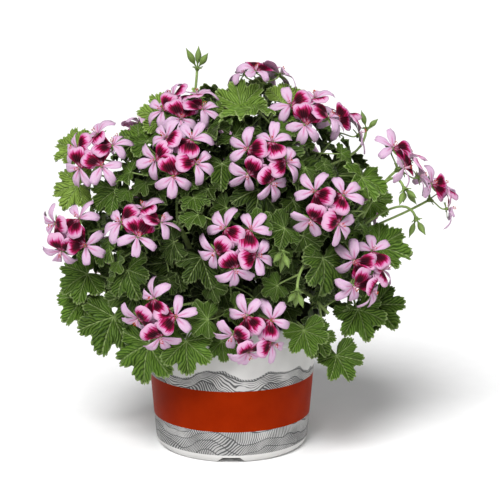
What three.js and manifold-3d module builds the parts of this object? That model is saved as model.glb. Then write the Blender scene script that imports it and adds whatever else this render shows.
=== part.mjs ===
// A pelargonium in full flower, standing in its round plastic pot.
// Lengths are in millimetres and angles in degrees, with +Z up. Everything is laid out about the pot's
// axis with the foot at z = 0. At the end the group is moved so that its origin lies under the middle
// of its own box.
import * as THREE from "three";
import { mergeVertices } from "three/addons/utils/BufferGeometryUtils.js";
import Module from "manifold-3d";

const wasm = await Module();
wasm.setup();

const V = (x, y, z) => new THREE.Vector3(x, y, z);
const UP = V(0, 0, 1);

// The pot
const ROUND = 20;
const FOOT_RADIUS = 76;
const FOOT_INNER_RADIUS = 69;
const FOOT_CURVE = { out: 4.5, up: 4, top: 10 };
const WALL_FOOT_RADIUS = 82.5;
const WALL_TOP_RADIUS = 92;
const RIM_RADIUS = 95;
const RIM_BOTTOM = 123;
const RIM_SLOPE = 1.5;
const RIM_CHAMFER = 1.2;
const RIM_LIP = 3;
const POT_HEIGHT = 143;
const WALL = 1.9;
const FLOOR_UNDERSIDE = 7.6;
const FLOOR_TOP = 9.6;
const FLOOR_BEVEL = 2;
const FLOOR_CORNER = { in: 4, top: 14 };
const NOTCH = { count: 4, bottom: 33, top: 18, height: 6.5, below: 1, inside: 61, depth: 30 };
const DRAIN = { count: 4, radius: 6, ring: 45, sides: 6, depth: 12 };

// The soil
const GAP = 0.35;
const SOIL_EDGE_HEIGHT = 127;
const SOIL_TOP_HEIGHT = 131;
const SOIL_MOUND = { share: 0.7, drop: 1 };
const STEM_FOOT_HEIGHT = 106;
const HOLE_CLEARANCE = 0.5;

// The leafy stems: where each stands in the soil, its tip, and the end of its side shoot
const STEM_RADIUS = 3.4;
const STEM_SIDES = 4;
const STEM_STEPS = 6;
const STEM_KNEE = 0.62;
const STEM_LEAN = 0.42;
const STEM_KNOTS = { from: 0.4, to: 0.98, steps: 12 };
const SHOOT_RADIUS = 2.3;
const SHOOT_SIDES = 3;
const SHOOT_STEPS = 4;
const SHOOT_START = 0.5;
const SHOOT_BEND = 0.45;
const SHOOT_KNOTS = { from: 0.2, to: 0.97, steps: 8 };
const STEMS = [
  { foot: [-46, -12], tip: [-98, -34, 250], shoot: [-122, -30, 178] },
  { foot: [-20, 4], tip: [-40, 2, 296], shoot: [-78, 24, 300] },
  { foot: [10, 24], tip: [26, 26, 312], shoot: [34, 78, 292] },
  { foot: [-28, -36], tip: [-52, -66, 248], shoot: [-86, -78, 176] },
  { foot: [6, -40], tip: [18, -74, 238], shoot: [0, -104, 196] },
  { foot: [32, -8], tip: [74, -20, 292], shoot: [104, 22, 286] },
  { foot: [36, -44], tip: [78, -78, 214], shoot: [100, -84, 162] },
  { foot: [-12, -64], tip: [-20, -84, 172], shoot: [44, -100, 160] },
  { foot: [64, -2], tip: [120, -8, 222], shoot: [130, -34, 168] },
  { foot: [-40, 32], tip: [-84, 60, 236], shoot: [-124, 54, 176] },
  { foot: [-6, 58], tip: [-10, 94, 230], shoot: [-24, 126, 174] },
  { foot: [42, 42], tip: [92, 70, 214], shoot: [112, 84, 162] },
];

// The flower heads: the stem each one grows on, how far along that stem its stalk leaves, the middle
// of the head, the way it faces and its number of florets
const BLOOMS = [
  { stem: 1, from: 0.98, at: [-144, -55, 329], azimuth: -118, rise: 38, florets: 5 },
  { stem: 2, from: 0.92, at: [-50, -34, 377], azimuth: -100, rise: 60, florets: 5 },
  { stem: 3, from: 0.98, at: [33, 22, 405], azimuth: 70, rise: 78, florets: 4 },
  { stem: 4, from: 0.98, at: [-54, -108, 332], azimuth: -95, rise: 26, florets: 5 },
  { stem: 1, from: 0.8, at: [-168, -66, 240], azimuth: -112, rise: 6, florets: 4 },
  { stem: 4, from: 0.84, at: [-89, -118, 269], azimuth: -100, rise: 56, florets: 4 },
  { stem: 5, from: 0.98, at: [36, -115, 324], azimuth: -82, rise: 12, florets: 5 },
  { stem: 6, from: 0.98, at: [82, -44, 370], azimuth: -78, rise: 50, florets: 4 },
  { stem: 6, from: 0.86, at: [123, -2, 352], azimuth: -20, rise: 52, florets: 3 },
  { stem: 7, from: 0.98, at: [96, -130, 280], azimuth: -86, rise: 8, florets: 4 },
  { stem: 5, from: 0.84, at: [6, -150, 244], azimuth: -94, rise: 4, florets: 5 },
  { stem: 8, from: 0.9, at: [-75, -135, 168], azimuth: -108, rise: -4, florets: 4 },
  { stem: 8, from: 0.98, at: [25, -142, 152], azimuth: -84, rise: -12, florets: 5 },
  { stem: 7, from: 0.8, at: [144, -98, 208], azimuth: -52, rise: 2, florets: 5 },
  { stem: 9, from: 0.98, at: [187, -30, 315], azimuth: -18, rise: 42, florets: 4 },
  { stem: 9, from: 0.9, at: [228, 12, 273], azimuth: -20, rise: 32, florets: 3 },
  { stem: 10, from: 0.98, at: [-108, 76, 330], azimuth: 132, rise: 40, florets: 4 },
  { stem: 11, from: 0.98, at: [-30, 132, 316], azimuth: 102, rise: 24, florets: 4 },
  { stem: 3, from: 0.86, at: [68, 112, 332], azimuth: 62, rise: 36, florets: 4 },
  { stem: 12, from: 0.98, at: [150, 84, 244], azimuth: 32, rise: 12, florets: 4 },
  { stem: 11, from: 0.84, at: [22, 158, 232], azimuth: 84, rise: 4, florets: 4 },
  { stem: 10, from: 0.86, at: [-112, 124, 236], azimuth: 132, rise: 8, florets: 4 },
  { stem: 10, from: 0.7, at: [-158, 84, 184], azimuth: 152, rise: -2, florets: 3 },
];
const STALK_RADIUS = 1.5;
const STALK_SIDES = 3;
const STALK_STEPS = 4;
const STALK_START = 0.3;
const STALK_END = 0.4;
const HUB_RADIUS = 3;
const HUB_DEPTH = 20;

// Florets stand round their head's axis at a spread that grows with their number. Each one looks
// mostly along the axis and a little outward, with a twist that lets their petals overlap like tiles.
const HEAD_SPREAD = { least: 30, perFloret: 6 };
const HEAD_TURN = 31;
const FLORET_OUTWARD = 0.42;
const FLORET_TWIST = 20;
const PEDICEL = 27;
const PEDICEL_RADIUS = 0.9;
const PEDICEL_ROOT = 0.8;
const THROAT = 4;
const CALYX_DEPTH = 7.5;
const CALYX_RADIUS = 1.8;
const BLADE = 0.75;

// Half of a floret's outline, as angle from the two broad petals' side, reach and lift.
// The first and last rows lie on the line between its halves.
const FLORET_EDGE = [
  [0, 19, -0.5],
  [51, 21, 0],
  [82, 5.5, -2.5],
  [105, 20.5, 0],
  [128, 21, -1],
  [150, 5, -3],
  [168, 22, -1.5],
];

// Half of a leaf's outline, as angle from the midrib, reach and lift as shares of its length
const LEAF_EDGE = [
  [0, 1, -0.14],
  [25, 0.6, 0.06],
  [49, 0.95, -0.1],
  [73, 0.54, 0.06],
  [98, 0.8, -0.08],
  [138, 0.44, 0.04],
];
const BLADE_MIDDLE = 0.45;
const PETIOLE_RADIUS = 1.4;
const PETIOLE_DEPTH = 1.54;
const PETIOLE_ROOT = 0.6;
const PETIOLE_SHORTEST = 16;
const PETIOLE_LONGEST = 96;
const PETIOLE_BACK = 0.3;
const PETIOLE_BELOW = 0.24;
const KNOT_INWARD = 34;
const KNOT_BELOW = 16;
const KNOTS_TRIED = 14;

// Leaves placed by eye, which shape the outline and hang over the rim: the middle of the blade, the
// way its face looks, the way its tip points on that face clockwise from up, and its length
const PLACED_LEAVES = [
  { at: [-80, 4, 374], azimuth: -92, rise: 40, tip: -25, length: 34 },
  { at: [-120, -6, 346], azimuth: -105, rise: 45, tip: -70, length: 30 },
  { at: [-172, 4, 322], azimuth: -120, rise: 40, tip: -80, length: 28 },
  { at: [-172, -22, 282], azimuth: -110, rise: 35, tip: -105, length: 32 },
  { at: [-134, -58, 280], azimuth: -105, rise: 40, tip: -130, length: 30 },
  { at: [-166, -22, 182], azimuth: -112, rise: 34, tip: -125, length: 36 },
  { at: [-168, -8, 148], azimuth: -115, rise: 24, tip: -145, length: 36 },
  { at: [-130, -50, 132], azimuth: -104, rise: 26, tip: -165, length: 42 },
  { at: [-88, -94, 114], azimuth: -114, rise: 18, tip: -172, length: 42 },
  { at: [-44, -118, 126], azimuth: -98, rise: 16, tip: 176, length: 34 },
  { at: [-8, -114, 126], azimuth: -86, rise: 14, tip: 172, length: 22 },
  { at: [78, -106, 138], azimuth: -80, rise: 24, tip: 165, length: 28 },
  { at: [96, -94, 128], azimuth: -66, rise: 26, tip: 150, length: 26 },
  { at: [116, -78, 104], azimuth: -70, rise: 30, tip: 158, length: 30 },
  { at: [138, -52, 144], azimuth: -78, rise: 30, tip: 165, length: 34 },
  { at: [162, -28, 146], azimuth: -84, rise: 34, tip: 142, length: 34 },
  { at: [176, -6, 182], azimuth: -76, rise: 40, tip: 118, length: 30 },
  { at: [170, -30, 216], azimuth: -78, rise: 50, tip: 110, length: 36 },
  { at: [158, 2, 266], azimuth: -84, rise: 30, tip: 84, length: 26 },
  { at: [138, 6, 302], azimuth: -84, rise: 34, tip: 76, length: 34 },
  { at: [66, 8, 378], azimuth: -80, rise: 42, tip: 62, length: 28 },
  { at: [8, 2, 382], azimuth: -92, rise: 38, tip: -12, length: 34 },
  { at: [-16, 34, 372], azimuth: -60, rise: 60, tip: 20, length: 30 },
  { at: [40, -108, 214], azimuth: -80, rise: 26, tip: 172, length: 30 },
  { at: [60, -110, 184], azimuth: -72, rise: 20, tip: 152, length: 28 },
  { at: [-64, -94, 206], azimuth: -108, rise: 24, tip: -150, length: 34 },
  { at: [-104, -80, 168], azimuth: -122, rise: 14, tip: -160, length: 34 },
  { at: [104, -62, 236], azimuth: -66, rise: 30, tip: 120, length: 32 },
];

// The egg shape that the rest of the leaves spread over
const CROWN = { middle: [4, 0, 232], across: [170, 162, 150], lowest: -0.72 };
const LEAF_TRIES = 75;
const LEAF_LENGTHS = [31, 43];
const LEAF_SWAY = { level: 0.4, up: [0.2, 0.75] };
const LEAF_FALL = [-0.9, -0.1];
const LEAF_SWING = 50;
const LEAF_TURNS = [0, 40, -40];
const LEAF_DEPTHS = [1, 0.95, 0.9, 0.84, 0.78, 0.7];
const PLACED_DEPTHS = [0, 6, 12, 18, 25, 32];
const GOLDEN_ANGLE = 137.508;

// Green flower buds in small bunches: their stem and where their stalk leaves it, the knot that the
// buds grow from, the way they point, and their size
const BUD_LENGTH = 17;
const BUD_LENGTHS = [0.8, 1.1];
const BUD_RADIUS = 3.5;
const BUD_STALK_RADIUS = 0.9;
const BUD_WAIST = 1;
const BUD_TIP = 1.6;
const KNOT_RADIUS = 2.6;
const BUNCH_TURN = 20;
const FIRST_BUD_SPREAD = 0.45;
const BUNCHES = [
  { stem: 2, from: 0.98, at: [-36, 20, 402], azimuth: -20, rise: 86, spread: 34, buds: 3, size: 1.02 },
  { stem: 6, from: 0.92, at: [144, 28, 337], azimuth: 70, rise: 76, spread: 44, buds: 2, size: 0.75 },
  { stem: 9, from: 0.94, at: [177, -62, 288], azimuth: -40, rise: -62, spread: 42, buds: 4, size: 0.75 },
  { stem: 9, from: 0.86, at: [193, -30, 251], azimuth: -30, rise: -70, spread: 38, buds: 3, size: 0.8 },
  { stem: 7, from: 0.9, at: [66, -142, 200], azimuth: -90, rise: -58, spread: 40, buds: 3, size: 0.8 },
  { stem: 5, from: 0.92, at: [52, -136, 238], azimuth: -90, rise: -50, spread: 38, buds: 3, size: 0.8 },
];

// How far apart the growing parts keep, how near the pot they come, and the size of the boxes that
// they are looked up in
const CLEAR_BLADES = 5.6;
const CLEAR_WOOD = 4.8;
const CLEAR_POT = { above: 3, beside: 4 };
const CELL = 8;
const BLADE_SHARES = [0.2, 0.4, 0.6, 0.8, 1];
const FLORET_SHARES = [0.3, 0.65, 1];
const STEM_SPAN = { from: 0.25, to: 1, steps: 40 };
const SHOOT_SPAN = { from: 0, to: 1, steps: 24 };
const STALK_SPAN = { from: 0.1, to: 1, steps: 24 };
const PEDICEL_SPAN = { from: 0, to: 1, steps: 5 };
const BUD_SPAN = { from: 0, to: 1, steps: 6 };
const PETIOLE_SPAN = { from: 0.06, to: 0.92, steps: 22 };

// The volume below which a loose body is only a speck
const SPECK = 1;

let draw = 7919;

// A number between two limits, the same in every run
function between(low, high) {
  draw = (draw * 1664525 + 1013904223) % 4294967296;
  return low + ((high - low) * draw) / 4294967296;
}

function radians(degrees) {
  return (degrees * Math.PI) / 180;
}

// The direction that faces an azimuth, measured from +X towards +Y, at a rise above level
function facing(azimuth, rise) {
  const level = Math.cos(radians(rise));
  return V(level * Math.cos(radians(azimuth)), level * Math.sin(radians(azimuth)), Math.sin(radians(rise)));
}

// A direction laid into the plane that stands square to an axis
function squareTo(axis, direction) {
  return direction.clone().addScaledVector(axis, -direction.dot(axis)).normalize();
}

function along(start, direction, distance) {
  return start.clone().addScaledVector(direction, distance);
}

// Solids

function solidOf(geometry) {
  const bare = geometry.clone();
  bare.deleteAttribute("normal");
  bare.deleteAttribute("uv");
  const merged = mergeVertices(bare, 1e-4);
  const vertProperties = new Float32Array(merged.attributes.position.array);
  const triVerts = new Uint32Array(merged.index.array);
  return new wasm.Manifold(new wasm.Mesh({ numProp: 3, vertProperties, triVerts }));
}

function meshOf(name, solid, material) {
  const { vertProperties, triVerts } = solid.getMesh();
  const geometry = new THREE.BufferGeometry();
  geometry.setAttribute("position", new THREE.BufferAttribute(new Float32Array(vertProperties), 3));
  geometry.setIndex(new THREE.BufferAttribute(new Uint32Array(triVerts), 1));
  const mesh = new THREE.Mesh(geometry, material);
  mesh.name = name;
  return mesh;
}

// Joins pieces into one body, without the specks that rounding can leave behind
function joined(pieces) {
  const bodies = wasm.Manifold.union(pieces).decompose();
  return wasm.Manifold.union(bodies.filter((body) => body.volume() > SPECK));
}

function facets(points, triangles) {
  const geometry = new THREE.BufferGeometry().setFromPoints(points);
  geometry.setIndex(triangles);
  return solidOf(geometry);
}

function turned(profile) {
  const points = profile.map(([radius, height]) => new THREE.Vector2(radius, height));
  return solidOf(new THREE.LatheGeometry(points, ROUND).rotateX(Math.PI / 2));
}

// A stem of a few flat sides along a curve
function rod(curve, radius, sides, steps) {
  const section = new THREE.Shape();
  for (let side = 0; side < sides; side++) {
    const angle = (side / sides) * 2 * Math.PI;
    const x = radius * Math.cos(angle);
    const y = radius * Math.sin(angle);
    if (side === 0) section.moveTo(x, y);
    else section.lineTo(x, y);
  }
  section.closePath();
  return solidOf(new THREE.ExtrudeGeometry(section, { steps, bevelEnabled: false, extrudePath: curve }));
}

// The pot

function potSolid() {
  const inside = WALL_FOOT_RADIUS - WALL;
  const shell = turned([
    [0, FLOOR_UNDERSIDE],
    [FOOT_INNER_RADIUS - FLOOR_BEVEL, FLOOR_UNDERSIDE],
    [FOOT_INNER_RADIUS, FLOOR_UNDERSIDE - FLOOR_BEVEL],
    [FOOT_INNER_RADIUS, 0],
    [FOOT_RADIUS, 0],
    [FOOT_RADIUS + FOOT_CURVE.out, FOOT_CURVE.up],
    [WALL_FOOT_RADIUS, FOOT_CURVE.top],
    [WALL_TOP_RADIUS, RIM_BOTTOM],
    [RIM_RADIUS, RIM_BOTTOM + RIM_SLOPE],
    [RIM_RADIUS, POT_HEIGHT - RIM_CHAMFER],
    [RIM_RADIUS - RIM_CHAMFER, POT_HEIGHT],
    [RIM_RADIUS - RIM_LIP, POT_HEIGHT],
    [WALL_TOP_RADIUS - WALL, RIM_BOTTOM],
    [inside, FLOOR_CORNER.top],
    [inside - FLOOR_CORNER.in, FLOOR_TOP],
    [0, FLOOR_TOP],
  ]);
  const cuts = [];
  for (let side = 0; side < NOTCH.count; side++) cuts.push(notch((side * 360) / NOTCH.count));
  for (let hole = 0; hole < DRAIN.count; hole++) cuts.push(drain((hole * 360) / DRAIN.count));
  return shell.subtract(wasm.Manifold.union(cuts));
}

// The cut through the foot ring that lets water out from under the pot
function notch(azimuth) {
  const outline = new THREE.Shape();
  outline.moveTo(-NOTCH.bottom / 2, -NOTCH.below);
  outline.lineTo(NOTCH.bottom / 2, -NOTCH.below);
  outline.lineTo(NOTCH.top / 2, NOTCH.height);
  outline.lineTo(-NOTCH.top / 2, NOTCH.height);
  outline.closePath();
  const block = new THREE.ExtrudeGeometry(outline, { depth: NOTCH.depth, bevelEnabled: false });
  block.rotateX(Math.PI / 2);
  block.translate(0, -NOTCH.inside, 0);
  return solidOf(block.rotateZ(radians(azimuth)));
}

function drain(azimuth) {
  const drill = new THREE.CylinderGeometry(DRAIN.radius, DRAIN.radius, DRAIN.depth, DRAIN.sides);
  drill.rotateX(Math.PI / 2);
  drill.translate(DRAIN.ring, 0, FLOOR_TOP);
  return solidOf(drill.rotateZ(radians(azimuth)));
}

// The soil, filled to a low mound under the rim, with a plain hole for every stem
function soilSolid(stems) {
  const inside = WALL_FOOT_RADIUS - WALL - GAP;
  const topInside = WALL_TOP_RADIUS - WALL - GAP;
  const heap = turned([
    [0, FLOOR_TOP + GAP],
    [inside - FLOOR_CORNER.in - GAP / 2, FLOOR_TOP + GAP],
    [inside, FLOOR_CORNER.top + GAP / 2],
    [topInside, RIM_BOTTOM],
    [topInside, SOIL_EDGE_HEIGHT],
    [topInside * SOIL_MOUND.share, SOIL_TOP_HEIGHT - SOIL_MOUND.drop],
    [0, SOIL_TOP_HEIGHT],
  ]);
  const holes = stems.map((stem) => rod(stem.hole, STEM_RADIUS + HOLE_CLEARANCE, STEM_SIDES, STEM_STEPS));
  return heap.subtract(wasm.Manifold.union(holes));
}

// Growth. What has grown so far is remembered as points in boxes, so that a new leaf finds room.

const grown = new Map();

function boxName(x, y, z) {
  return `${x},${y},${z}`;
}

function remember(points, stem, kind) {
  for (const point of points) {
    const name = boxName(Math.floor(point.x / CELL), Math.floor(point.y / CELL), Math.floor(point.z / CELL));
    if (!grown.has(name)) grown.set(name, []);
    grown.get(name).push({ point, stem, kind });
  }
}

// Whether points come too near to what has grown. A petiole starts on its own stem's wood, so it
// passes that freely.
function crowded(points, stem, kind) {
  for (const point of points) {
    const level = Math.hypot(point.x, point.y);
    if (point.z < POT_HEIGHT + CLEAR_POT.above && level < RIM_RADIUS + CLEAR_POT.beside) return true;
    const [x, y, z] = [point.x, point.y, point.z].map((value) => Math.floor(value / CELL));
    for (let i = x - 1; i <= x + 1; i++)
      for (let j = y - 1; j <= y + 1; j++)
        for (let k = z - 1; k <= z + 1; k++)
          for (const other of grown.get(boxName(i, j, k)) ?? []) {
            if (kind === "petiole" && other.kind === "wood" && other.stem === stem) continue;
            const clear = kind === "leaf" && other.kind !== "wood" ? CLEAR_BLADES : CLEAR_WOOD;
            if (point.distanceTo(other.point) < clear) return true;
          }
  }
  return false;
}

function pointsOn(curve, { from, to, steps }) {
  const points = [];
  for (let i = 0; i <= steps; i++) points.push(curve.getPoint(from + ((to - from) * i) / steps));
  return points;
}

// Stems and side shoots

function growStem({ foot, tip, shoot }, index) {
  const start = V(foot[0], foot[1], STEM_FOOT_HEIGHT);
  const end = V(...tip);
  const height = end.z - start.z;
  const knee = along(start, UP, height * STEM_KNEE);
  const lean = end.clone().lerp(knee, STEM_LEAN);
  const curve = new THREE.CubicBezierCurve3(start, knee, lean, end);
  const hole = new THREE.CubicBezierCurve3(along(start, UP, -GAP), knee, lean, end);
  const fork = curve.getPoint(SHOOT_START);
  const side = V(...shoot);
  const away = curve.getTangent(SHOOT_START);
  const bend = along(fork, away, fork.distanceTo(side) * SHOOT_BEND);
  const branch = new THREE.QuadraticBezierCurve3(fork, bend, side);
  const stem = { number: index + 1, curve, hole, branch, parts: [] };
  stem.parts.push(rod(curve, STEM_RADIUS, STEM_SIDES, STEM_STEPS));
  stem.parts.push(rod(branch, SHOOT_RADIUS, SHOOT_SIDES, SHOOT_STEPS));
  remember(pointsOn(curve, STEM_SPAN), stem.number, "wood");
  remember(pointsOn(branch, SHOOT_SPAN), stem.number, "wood");
  stem.knots = pointsOn(curve, STEM_KNOTS).concat(pointsOn(branch, SHOOT_KNOTS));
  return stem;
}

// A stalk that leaves its stem along the stem and meets what it carries from behind
function stalkCurve(stem, from, end, axis) {
  const start = stem.curve.getPoint(from);
  const reach = start.distanceTo(end);
  const first = along(start, stem.curve.getTangent(from), reach * STALK_START);
  const last = along(end, axis, -reach * STALK_END);
  return new THREE.CubicBezierCurve3(start, first, last, end);
}

// Flower heads

// The frames of a head's florets: the throat's place, and the floret's own right, inward and face
function floretFrames({ at, azimuth, rise, florets }, index) {
  const axis = facing(azimuth, rise);
  const hub = along(V(...at), axis, -HUB_DEPTH);
  const right = squareTo(axis, V(-Math.sin(radians(azimuth)), Math.cos(radians(azimuth)), 0));
  const top = axis.clone().cross(right);
  const frames = [];
  for (let i = 0; i < florets; i++) {
    const turn = radians((i * 360) / florets + index * HEAD_TURN);
    const spread = radians(HEAD_SPREAD.least + HEAD_SPREAD.perFloret * florets);
    const round = along(right.clone().multiplyScalar(Math.cos(turn)), top, Math.sin(turn));
    const out = along(axis.clone().multiplyScalar(Math.cos(spread)), round, Math.sin(spread));
    const place = along(hub, out, PEDICEL);
    const level = axis.clone().lerp(out, FLORET_OUTWARD).normalize();
    const inward = squareTo(level, axis);
    const face = level.applyAxisAngle(inward, radians(FLORET_TWIST));
    frames.push({ place, face, inward, right: inward.clone().cross(face), out });
  }
  return { hub, axis, frames };
}

// The whole outline of a floret or leaf, from the rows of its one half, anticlockwise on its face
function wholeOutline(half) {
  const other = half.filter(([angle]) => angle > 0).map(([angle, reach, lift]) => [-angle, reach, lift]);
  return half.toReversed().concat(other);
}

function inFrame(frame, x, y, z) {
  return along(along(along(frame.place, frame.right, x), frame.inward, y), frame.face, z);
}

function outlineIn(frame, half, size) {
  return wholeOutline(half).map(([angle, reach, lift]) => {
    const x = reach * size * Math.sin(radians(angle));
    const y = reach * size * Math.cos(radians(angle));
    return inFrame(frame, x, y, lift * size);
  });
}

// A floret of five petals on its calyx and pedicel: a thin blade round the throat, whose underside
// runs down into a three-sided stalk
function floretSolid(frame, hub) {
  const upper = outlineIn(frame, FLORET_EDGE, 1);
  const lower = upper.map((point) => along(point, frame.face, -BLADE));
  const count = upper.length;
  const calyx = [];
  const root = [];
  for (let side = 0; side < 3; side++) {
    const turn = radians(60 - side * 120);
    const x = Math.sin(turn);
    const y = Math.cos(turn);
    calyx.push(inFrame(frame, CALYX_RADIUS * x, CALYX_RADIUS * y, -CALYX_DEPTH));
    const spot = along(hub, frame.out, PEDICEL_ROOT);
    const across = squareTo(frame.out, frame.right);
    const inward = frame.out.clone().cross(across);
    root.push(along(along(spot, across, PEDICEL_RADIUS * x), inward, PEDICEL_RADIUS * y));
  }
  const points = [inFrame(frame, 0, 0, -THROAT), ...upper, ...lower, ...calyx, ...root];
  const [firstUpper, firstLower, firstCalyx, firstRoot] = [1, 1 + count, 1 + 2 * count, 4 + 2 * count];
  return facets(points, floretTriangles(count, firstUpper, firstLower, firstCalyx, firstRoot));
}

function floretTriangles(count, firstUpper, firstLower, firstCalyx, firstRoot) {
  const triangles = [];
  const sideOf = (i) => firstCalyx + Math.floor(((i % count) * 3) / count);
  for (let i = 0; i < count; i++) {
    const j = (i + 1) % count;
    triangles.push(0, firstUpper + i, firstUpper + j);
    triangles.push(firstUpper + i, firstLower + i, firstLower + j);
    triangles.push(firstUpper + i, firstLower + j, firstUpper + j);
    triangles.push(sideOf(i), firstLower + j, firstLower + i);
    if (sideOf(j) !== sideOf(i)) triangles.push(sideOf(i), sideOf(j), firstLower + j);
  }
  for (let side = 0; side < 3; side++) {
    const next = (side + 1) % 3;
    triangles.push(firstCalyx + side, firstRoot + side, firstRoot + next);
    triangles.push(firstCalyx + side, firstRoot + next, firstCalyx + next);
  }
  triangles.push(firstRoot, firstRoot + 2, firstRoot + 1);
  return triangles;
}

function bloomSolid(bloom) {
  const core = new THREE.OctahedronGeometry(HUB_RADIUS);
  core.applyQuaternion(new THREE.Quaternion().setFromUnitVectors(UP, bloom.axis));
  core.translate(bloom.hub.x, bloom.hub.y, bloom.hub.z);
  const pieces = bloom.frames.map((frame) => floretSolid(frame, bloom.hub));
  return joined([solidOf(core), ...pieces]);
}

// The points that stand for a blade when room is looked for, on rays from its root to its edge
function bladePoints(frame, half, size, shares) {
  const edge = outlineIn(frame, half, size);
  const halfway = edge.slice(1).map((point, i) => point.clone().lerp(edge[i], 0.5));
  const rays = edge.concat(halfway);
  return shares.flatMap((share) => rays.map((point) => frame.place.clone().lerp(point, share)));
}

function growBloom(row, index, stems) {
  const bloom = floretFrames(row, index);
  const stem = stems[row.stem - 1];
  const end = along(bloom.hub, bloom.axis, -HUB_RADIUS - GAP);
  const stalk = stalkCurve(stem, row.from, end, bloom.axis);
  stem.parts.push(rod(stalk, STALK_RADIUS, STALK_SIDES, STALK_STEPS));
  remember(pointsOn(stalk, STALK_SPAN), row.stem, "wood");
  for (const frame of bloom.frames) {
    remember(bladePoints(frame, FLORET_EDGE, 1, FLORET_SHARES), -index, "bloom");
    const pedicel = new THREE.LineCurve3(bloom.hub, frame.place);
    remember(pointsOn(pedicel, PEDICEL_SPAN), -index, "bloom");
  }
  return bloom;
}

// Buds

function budSolid(knot, direction, length, radius) {
  const profile = [
    [0, 0],
    [BUD_STALK_RADIUS, 0],
    [BUD_STALK_RADIUS, 0.5],
    [radius, BUD_WAIST],
    [0, BUD_TIP],
  ].map(([across, share]) => new THREE.Vector2(across, share * length));
  const bud = new THREE.LatheGeometry(profile, 4).rotateX(Math.PI / 2);
  bud.applyQuaternion(new THREE.Quaternion().setFromUnitVectors(UP, direction));
  return solidOf(bud.translate(knot.x, knot.y, knot.z));
}

function growBunch({ stem: number, from, at, azimuth, rise, spread, buds, size }, stems) {
  const stem = stems[number - 1];
  const axis = facing(azimuth, rise);
  const knot = V(...at);
  const stalk = stalkCurve(stem, from, knot, axis);
  const core = new THREE.OctahedronGeometry(KNOT_RADIUS).translate(knot.x, knot.y, knot.z);
  stem.parts.push(rod(stalk, STALK_RADIUS, STALK_SIDES, STALK_STEPS), solidOf(core));
  remember(pointsOn(stalk, STALK_SPAN), number, "wood");
  const side = squareTo(axis, V(-Math.sin(radians(azimuth)), Math.cos(radians(azimuth)), 0));
  const top = axis.clone().cross(side);
  for (let i = 0; i < buds; i++) {
    const turn = radians((i * 360) / buds + BUNCH_TURN);
    const round = along(side.clone().multiplyScalar(Math.cos(turn)), top, Math.sin(turn));
    const lean = radians(spread * (i === 0 ? FIRST_BUD_SPREAD : 1));
    const direction = along(axis.clone().multiplyScalar(Math.cos(lean)), round, Math.sin(lean)).normalize();
    const length = BUD_LENGTH * size * between(...BUD_LENGTHS);
    stem.parts.push(budSolid(knot, direction, length, BUD_RADIUS * Math.sqrt(size)));
    const spine = new THREE.LineCurve3(knot, along(knot, direction, length * BUD_TIP));
    remember(pointsOn(spine, BUD_SPAN), number, "bud");
  }
}

// Leaves

// A leaf's frame: its petiole's end, and the blade's own right, midrib and face
function leafFrame(middle, face, midrib, length) {
  const right = midrib.clone().cross(face);
  return { place: along(middle, midrib, -length * BLADE_MIDDLE), face, inward: midrib, right, length };
}

// The petiole leaves its stem and comes up to the blade from behind
function petioleCurve(knot, frame) {
  const reach = knot.distanceTo(frame.place);
  const behind = along(frame.place, frame.inward, -reach * PETIOLE_BACK);
  const back = along(behind, frame.face, -reach * PETIOLE_BELOW);
  return new THREE.QuadraticBezierCurve3(knot, back, frame.place);
}

// The first knot that a leaf's petiole can reach with nothing in its way
function findKnot(frame, outward, stems) {
  const blade = bladePoints(frame, LEAF_EDGE, frame.length, BLADE_SHARES);
  if (crowded(blade, 0, "leaf")) return null;
  const target = along(along(frame.place, outward, -KNOT_INWARD), UP, -KNOT_BELOW);
  const choices = [];
  for (const stem of stems)
    for (const knot of stem.knots) {
      const reach = knot.distanceTo(frame.place);
      if (reach > PETIOLE_SHORTEST && reach < PETIOLE_LONGEST)
        choices.push({ stem, knot, cost: knot.distanceTo(target) });
    }
  choices.sort((a, b) => a.cost - b.cost);
  for (const { stem, knot } of choices.slice(0, KNOTS_TRIED)) {
    const curve = petioleCurve(knot, frame);
    const stalk = pointsOn(curve, PETIOLE_SPAN);
    if (!crowded(stalk, stem.number, "petiole")) {
      remember(blade, stem.number, "leaf");
      remember(stalk, stem.number, "petiole");
      stem.knots.splice(stem.knots.indexOf(knot), 1);
      return { stem, curve };
    }
  }
  return null;
}

// A lobed blade and its petiole in one closed skin. The petiole is three-sided, and its end is the
// corner that the blade fans out from.
function leafSolid(frame, curve) {
  const upper = outlineIn(frame, LEAF_EDGE, frame.length);
  const lower = upper.map((point) => along(point, frame.face, -BLADE));
  const rings = [petioleRing(frame.place, frame.right, frame.face)];
  const tangent = curve.getTangent(0);
  const across = squareTo(tangent, frame.right);
  const root = along(curve.getPoint(0), tangent, -PETIOLE_ROOT);
  rings.push(petioleRing(root, across, across.clone().cross(tangent)));
  const points = [...rings.flat(), ...upper, ...lower];
  return facets(points, leafTriangles(upper.length, rings.length));
}

function petioleRing(middle, across, top) {
  const low = along(middle, top, -PETIOLE_DEPTH);
  return [middle.clone(), along(low, across, -PETIOLE_RADIUS), along(low, across, PETIOLE_RADIUS)];
}

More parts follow.
